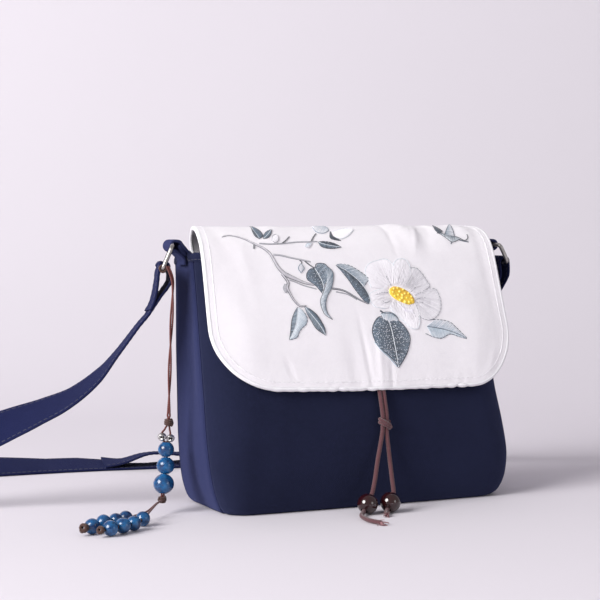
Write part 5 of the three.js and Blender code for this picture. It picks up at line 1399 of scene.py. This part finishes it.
closure_cotton = spun("closure_cord", rgb(44, 20, 26), rgb(104, 60, 66))
charm_cotton = spun("charm_cord", rgb(54, 18, 18), rgb(116, 54, 48))
reddish_cotton = spun("charm_knot", rgb(30, 16, 13), rgb(82, 48, 38))

# %% Cords
CORD_R, LAID_SHARE, BEAD_ROW, CLOSURE_BEAD_R = 1.5, 0.96, 10, 6.5
CLOSURE_LEFT = [
    (3.95, -43.7, 76.2), (3.95, -45.2, 72.6), (4, -46.4, 68.6), (4, -48, 63.5), (4.1, -49, 58.5),
    (3.9, -49, 50),
    (1.9, -50.3, 42.5), (-1.6, -52.6, 31), (-5.8, -56.6, 18.6), (-10.3, -60.9, 10.8), (-14.9, -64.6, 6.6),
    (-19.5, -68.3, 2.7), (-24.4, -75, 1.75), (-27, -84, 1.7), (-27.4, -93, 1.7), (-24.6, -101, 1.7)]
CLOSURE_RIGHT = [
    (6.85, -43.7, 76.2), (6.85, -45.2, 72.6), (6.8, -46.4, 68.6), (6.8, -48, 63.5), (6.8, -49, 58.5),
    (6.8, -49, 50), (6.9, -50.3, 42.5), (7.4, -52.2, 31), (6.8, -56.6, 19), (5.3, -61.2, 10.9),
    (0.9, -65.2, 6.6),
    (-3.5, -69.2, 2.6), (-6.8, -74, 1.75), (-8.8, -79, 1.7)]
closure = {}
for side, route in (("left", CLOSURE_LEFT), ("right", CLOSURE_RIGHT)):
    line = evenly(curve(route, 300), 0.55)
    line[:, 2] = np.maximum(line[:, 2], CORD_R + 0.05)
    verts, faces, _ = rope(line, CORD_R * LAID_SHARE, 18, plies=3, lay=5.4, depth=0.2)
    obj = make_piece(f"closure_{side}", verts, faces, closure_cotton, rope(line, CORD_R, 18)[2], sharp=80)
    closure[side] = (settle(obj, "cord", f"closure_cord_{side}"), line)
    print(f"closure cord {side}, mm:", round(length_of(line), 1))

# %% [markdown]
# ## Beads, bells and knots
# A bead is turned from a profile that goes round its bore, so the hole is real. The glazed beads
# are slightly uneven. Knots are wound from the cord itself.

# %% Turned beads
def bead(name, centre, axis, r, tall, bore, look, slot, node, rings=20, sides=30, seed=0, uneven=0.0):
    """A bead with a real bore, turned about axis. tall is its height against its width."""
    first = math.acos(min(bore / r, 0.95))
    a = np.linspace(first, -first, rings)
    radial, height = r * np.cos(a), r * tall * np.sin(a)
    lip = 0.12 * r
    mouth = [bore * 1.02, bore + lip * 0.35]
    profile_r = np.concatenate([mouth, radial[1:-1], mouth[::-1]])
    top = height[0]
    profile_h = np.concatenate([[top - lip, top + 0.01 * r], height[1:-1], [-top - 0.01 * r, lip - top]])
    q = np.linspace(0, 2 * np.pi, sides, endpoint=False)
    wob = 1 + uneven * np.sin(2 * q + seed) + 0.6 * uneven * np.sin(3 * q + 2.1 * seed)
    ex = unit(np.cross(axis, (0.3, 0.5, 0.81)))
    ey = np.cross(unit(axis), ex)
    ring = (np.asarray(centre) + profile_r[None, :, None] * wob[:, None, None]
            * (np.cos(q)[:, None, None] * ex + np.sin(q)[:, None, None] * ey)
            + profile_h[None, :, None] * unit(axis))
    obj = make_piece(name, ring, [grid_quads(sides, len(profile_r), True, True)], look, sharp=50)
    return settle(obj, slot, node)


def direction_at(line, place):
    i = int(np.argmin(np.linalg.norm(line - np.asarray(place), axis=1)))
    i = min(max(i, 2), len(line) - 3)
    return unit(line[i + 2] - line[i - 2])


lacquer = Look("maroon_lacquer", roughness=0.12, coat_weight=0.6, coat_roughness=0.05)
grain = lacquer.noise(160.0, 3.0, 0.6)
lacquer.colour(lacquer.blend(grain, rgb(15, 3, 5), rgb(52, 13, 15)))
lacquer.bump(lacquer.noise(300.0), 0.00004)
beads = {}
for side, route in (("left", CLOSURE_LEFT), ("right", CLOSURE_RIGHT)):
    place = route[BEAD_ROW]
    beads[side] = bead(f"closure_{side}_bead", place, direction_at(closure[side][1], place),
                       CLOSURE_BEAD_R, 1.0, 1.85, lacquer.material, "maroon", f"closure_bead_{side}", seed=1)


# %% Closure knot: the two cords bound by turns of a third
def binding(centre, rx, ry, height, turns, tilt, per_turn=26):
    """A line wound round an upright oval core, from the top turn to the bottom one."""
    n = int(turns * per_turn)
    t = np.linspace(0, 1, n + 1)
    a = 2 * np.pi * turns * t
    z = height * (0.5 - t) + tilt * np.cos(a)
    return np.asarray(centre) + np.stack([rx * np.cos(a), ry * np.sin(a), z], 1)


knot_line = binding((5.4, -49, 54.4), 3.35, 2.7, 5.0, 2.3, -1.4)
cross = curve([(1.7, -50.3, 56.9), (3.9, -52.3, 55.6), (7.2, -52.3, 53.4), (9.3, -50.2, 51.9)], 30)
verts, faces, uv = joined([rope(knot_line, 1.12, 14, plies=3, lay=4.6),
                           rope(cross, 1.1, 14, plies=3, lay=4.6)])
closure_wrap = settle(make_piece("closure_wrap", verts, faces, closure_cotton, uv, sharp=80), "cord",
                      "closure_knot")

# %% Frayed ends
FRAY_DYE = np.array(rgb(136, 92, 98)[:3])
runs = []
for side, strength in (("left", 1.0), ("right", 0.6)):
    line = closure[side][1]
    tip, ahead = line[-4], unit(line[-1] - line[-12])
    for k in range(int(34 * strength)):
        spread_to = unit(ahead + PICK.normal(0, 0.42, 3) * (1, 1, 0.5))
        reach = PICK.uniform(2.5, 5.5) * strength
        w = np.linspace(0, 1, 6)[:, None]
        bow = PICK.normal(0, 0.8, 3)
        hair = tip + PICK.normal(0, 0.6, 3) + spread_to * reach * w + bow * w * w
        hair[:, 2] = np.clip(hair[:, 2] - 1.2 * w[:, 0] ** 2, 0.25, 3.0)
        runs.append((hair, FRAY_DYE * PICK.uniform(0.5, 1.5)))
closure_fray = settle(thread_piece("closure_fray", runs, cotton_thread, 0.2, 4), "cord")
print("frayed threads:", len(runs))

for side, (obj, line) in closure.items():
    tuple(line[0] * MM)
    [beads[side]] + ([closure_wrap, closure_fray] if side == "left" else [])
    [tuple(q) for q in line[::6] * MM] + [tuple(line[-1] * MM)]

# %% [markdown]
# ## The charm
# Two thin strands hang from a hitch on the left ring, twist down together, carry two small bells and
# three glazed beads, and part into two tails with four small beads each. A string of beads isn't a
# cord, because its beads bear on what they lie on.

# %% Charm lines
STRAND_R, STRAND_SPLIT = 0.58, 0.98
CHARM_CORE = [
    (-3.8, -4.6, 155, 1), (-1.9, -4.7, 150.6, 1), (-0.5, -4.7, 145.4, 1), (-0.6, -4.7, 134, 1),
    (-1.9, -4.8, 110, 1), (-2.9, -5, 84, 1), (-3.5, -5, 62, 1), (-3.7, -5, 56.9, 1),
    (-4.5, -5, 53, 1.5), (-5.3, -5, 50.4, 2.8), (-5.3, -5, 46.4, 2.8), (-5.4, -5, 44.6, 1),
    (-5.4, -5, 39.9, 1), (-6.1, -6, 29.8, 1), (-8.1, -7.8, 18.7, 1), (-9.5, -9.2, 9.4, 1)]
TAIL_A = [(-16.2, -17, 8), (-24.6, -29.2, 6.2), (-30.4, -37.8, 5), (-34.5, -43.6, 4.6),
          (-39.3, -49.8, 4.6), (-44.2, -55.2, 4.6), (-52.6, -60.6, 4.8), (-61.8, -65.3, 4.8),
          (-66.2, -66.4, 4.2)]
TAIL_B = [(-15.8, -16.2, 8.2), (-25.6, -25.6, 5.4), (-36.4, -32.2, 4.6), (-43.1, -37.5, 4.6),
          (-51, -42.6, 4.6), (-59.8, -46.2, 4.8), (-65.2, -50.2, 4.8), (-69.7, -55, 4.8),
          (-73.4, -57, 4.2)]
BAR_X = float(LEFT_TOP[0]) - 0.41 * RING_DROP


def hung(p):
    return vec(BAR_X + p[0], p[1], p[2])


strands = {}
for side, tail, node in ((-1, TAIL_A, "charm_strand_a"), (1, TAIL_B, "charm_strand_b")):
    core = curve([(*hung(p), p[3]) for p in CHARM_CORE], 240)
    twist = 2 * np.pi * np.clip((150 - core[:, 2]) / 64.0, 0, 4)
    tight = np.where(core[:, 3] < 1.2, 0.68, core[:, 3] * STRAND_SPLIT)
    swing = np.where(core[:, 3] < 1.2, 1.0, 0.0) * np.where(core[:, 2] > 60, 1, 0)
    core[:, 0] += side * tight * np.cos(twist * swing)
    core[:, 1] += side * tight * np.sin(twist * swing)
    route = [core[i, :3] for i in range(0, 241, 5)] + [hung(p) for p in tail]
    line = evenly(curve(route, 700), 0.45)
    line[:, 2] = np.maximum(line[:, 2], STRAND_R + 0.05)
    verts, faces, uv = rope(line, STRAND_R * 1.1, 10, plies=2, lay=2.6, depth=0.22)
    settle(make_piece(node + "_twine", verts, faces, charm_cotton, uv, sharp=80), "brown", node)
    strands[node] = line

# %% Glazed beads
glaze = Look("blue_glaze", roughness=0.14, coat_weight=0.25, coat_roughness=0.04)
pool = glaze.noise(210.0, 5.0, 0.6)
speck = glaze.noise(420.0, 2.0, 0.7)
tone = glaze.blend(pool * 2.6 - 0.85, rgb(4, 22, 66), rgb(30, 104, 160))
glaze.colour(glaze.blend((speck.over(0.66)) * 0.7, tone, rgb(20, 44, 66)))
glaze.roughness(0.1 + 0.2 * speck)
glaze.bump(pool + 0.4 * speck, 0.0002)
CHARM_BEADS = [("charm_bead_1", 12, 5.1), ("charm_bead_2", 13, 5.6), ("charm_bead_3", 14, 6.5)]
core_line = curve([hung(p) for p in CHARM_CORE], 300)
for i, (node, row, r) in enumerate(CHARM_BEADS):
    at = hung(CHARM_CORE[row])
    bead(node + "_glazed", at, direction_at(core_line, at), r, 0.97, 2.2, glaze.material, "glaze", node,
         seed=i * 1.7, uneven=0.012)
# letter, strand and row of its table. Each small bead is as large as its place over the floor allows
TAIL_ROWS = [("a", "a", 3), ("b", "a", 5), ("c", "a", 6), ("d", "a", 7),
             ("e", "b", 3), ("f", "b", 4), ("g", "b", 5), ("h", "b", 7)]
OVER_FLOOR = 0.05
for i, (letter, strand, row) in enumerate(TAIL_ROWS):
    at = hung((TAIL_A if strand == "a" else TAIL_B)[row])
    bead(f"tail_bead_{letter}_glazed", at, direction_at(strands["charm_strand_" + strand], at),
         at[2] - OVER_FLOOR, 0.92, 1.0, glaze.material, "glaze", f"tail_bead_{letter}", 14, 24, seed=i,
         uneven=0.015)

# %% Bells
# each small bell has two faces that are pressed in; a near-black look on them is painted shade for the holes
PRESSED, PRESS_FROM, PRESS_DEPTH = [(-0.62, -0.78, -0.1), (0.32, -0.94, -0.12)], 0.86, 0.42
silver = Look("silver", metallic=1.0, roughness=0.28)
tarnish = silver.noise(500.0, 3.0, 0.6)
silver.colour(silver.blend(tarnish, rgb(140, 138, 138), rgb(240, 238, 236)))
silver.roughness(0.18 + 0.35 * tarnish)
# painted shade: a near-black look for the pressed-in holes of the bells
hole_shade_look = Look("bell_hole_painted_shade", roughness=0.8)
hole_shade_look.colour(hole_shade_look.blend(hole_shade_look.noise(600.0), rgb(6, 6, 8), rgb(30, 27, 26)))
for node, at, r in (("charm_bell_a", (-8.1, -5, 48), 2.8), ("charm_bell_b", (-2.5, -5, 46.8), 2.7)):
    obj = bead(node + "_silver", hung(at), vec(0, 0, 1), r, 0.92, 0.95, silver.material, "silver", node,
               34, 48)
    at_all = np.empty(len(obj.data.vertices) * 3)
    obj.data.vertices.foreach_get("co", at_all)
    away = at_all.reshape(-1, 3) / MM - hung(at)
    facing = np.maximum(*((unit(away) * unit(vec(*v))).sum(1) for v in PRESSED))
    press = np.clip((facing - PRESS_FROM) / 0.02, 0, 1)[:, None]
    belt = 1 + 0.035 * gauss(away[:, 2:], 0.3)
    at_all = (hung(at) + away * (1 - PRESS_DEPTH * press) * np.where(press > 0, 1, belt)) * MM
    obj.data.vertices.foreach_set("co", at_all.ravel())
    obj.data.materials.append(hole_shade_look.material)
    for face in obj.data.polygons:
        face.material_index = int(min(press[v, 0] for v in face.vertices) > 0.4)
    obj.data.update()


# %% Knots of the charm
def wound_knot(node, slot, centre, axis, r, height, turns, cord):
    """Turns of cord about an axis, with one turn crossed over them."""
    ez = unit(axis)
    ex = unit(np.cross(ez, (0.2, 0.9, 0.3)))
    ey = np.cross(ez, ex)
    t = np.linspace(0, 1, int(turns * 22) + 1)
    a = 2 * np.pi * turns * t
    swell = r * (0.86 + 0.14 * np.sin(np.pi * t))
    line = (np.asarray(centre) + (swell * np.cos(a))[:, None] * ex + (swell * np.sin(a))[:, None] * ey
            + (height * (0.5 - t))[:, None] * ez)
    b = np.linspace(-0.7, 0.7, 16)
    over = (np.asarray(centre) + (r * 1.18 * np.cos(b * 1.3))[:, None] * ex
            + (r * 0.7 * np.sin(b * 2.2))[:, None] * ey + (height * 0.62 * b / 0.7)[:, None] * ez)
    verts, faces, uv = joined([rope(line, cord, 10, 2, 2.4), rope(over, cord, 10, 2, 2.4)])
    return settle(make_piece(node + "_wound", verts, faces, reddish_cotton, uv, sharp=80), slot, node)


UPPER_ROW, LOWER_ROW = 7, 15
at = hung(CHARM_CORE[UPPER_ROW])
wound_knot("charm_knot_upper", "reddish", at, direction_at(core_line, at), 2.2, 3.6, 3.0, 0.74)
wound_knot("charm_knot_lower", "reddish", hung(CHARM_CORE[LOWER_ROW]), vec(-0.2, -0.2, 1), 2.1, 3.2, 3.4, 0.66)
hitch = LEFT_BOTTOM - LEFT_ALONG * (RING_LONG / 2 - 2.0)
wound_knot("charm_hitch", "reddish", hitch, LEFT_ALONG, 2.15, 3.2, 3.2, 0.72)
for node, at, r in (("tail_knot_a", (-68.4, -67.2, 4.6), 2.6), ("tail_knot_b", (-75.6, -58.2, 4.8), 3.1)):
    wound_knot(node, "reddish", hung(at), vec(-0.6, -0.6, 0.2), r * 0.62, r * 0.8, 2.2, r * 0.36)

# %% [markdown]
# ## Floor, light and finish
# The bag stands on a pale sweep of paper that turns up softly behind it. A round soft light comes
# from the upper left and a weak one fills the front right.

# %% Stage
t = np.linspace(0, 1, 49)[1:]
FLOOR_END, BEND, FLOOR_FRONT, WALL_TOP, HALF_SWEEP, SWEEP_TURN = 430.0, 900.0, -2400, 3400.0, 3400.0, -25
sweep_y = np.concatenate([np.linspace(FLOOR_FRONT, FLOOR_END, 20),
                          FLOOR_END + BEND * np.sin(t * np.pi / 2)])
sweep_z = np.concatenate([np.zeros(20), BEND * (1 - np.cos(t * np.pi / 2))])
sweep_y, sweep_z = np.append(sweep_y, FLOOR_END + BEND), np.append(sweep_z, WALL_TOP)
turn_by = math.radians(SWEEP_TURN)
sweep = np.array([[(x * math.cos(turn_by) - y * math.sin(turn_by),
                    x * math.sin(turn_by) + y * math.cos(turn_by), z - 0.02)
                   for x in (-HALF_SWEEP, HALF_SWEEP)] for y, z in zip(sweep_y, sweep_z)])
paper = Look("paper", roughness=0.95)
paper.colour(paper.blend(paper.noise(1.2, 2.0), rgb(218, 213, 220), rgb(223, 218, 225)))
mesh = bpy.data.meshes.new("paper_sweep")
mesh.from_pydata((sweep.reshape(-1, 3) * MM).tolist(), [], grid_quads(len(sweep_y), 2)[:, ::-1].tolist())
mesh.materials.append(paper.material)
mesh.polygons.foreach_set("use_smooth", np.ones(len(mesh.polygons), bool))
shown("paper_sweep", mesh)
print("paper sweep:", len(mesh.polygons), "faces")


# %% Lights
def panel_light(name, place, aim, size, power, tint):
    lamp = bpy.data.lights.new(name, "AREA")
    lamp.shape, lamp.size, lamp.energy, lamp.color = "DISK", size, power, tint
    obj = shown(name, lamp)
    obj.location = place
    obj.rotation_euler = (Vector(aim) - Vector(place)).to_track_quat("-Z", "Y").to_euler()


panel_light("key", (-2.2, -0.58, 1.2), (0, 0, 0.1), 1.5, 88, (1.0, 0.99, 0.985))
panel_light("fill", (1.0, -1.9, 0.55), (0, 0, 0.08), 0.9, 4.5, (0.98, 0.98, 1.0))
world = bpy.data.worlds.new("room")
world.use_nodes = True
world.node_tree.nodes["Background"].inputs["Color"].default_value = (0.87, 0.85, 0.88, 1)
world.node_tree.nodes["Background"].inputs["Strength"].default_value = 0.44
bpy.context.scene.world = world
bpy.context.scene.view_settings.view_transform = "Standard"
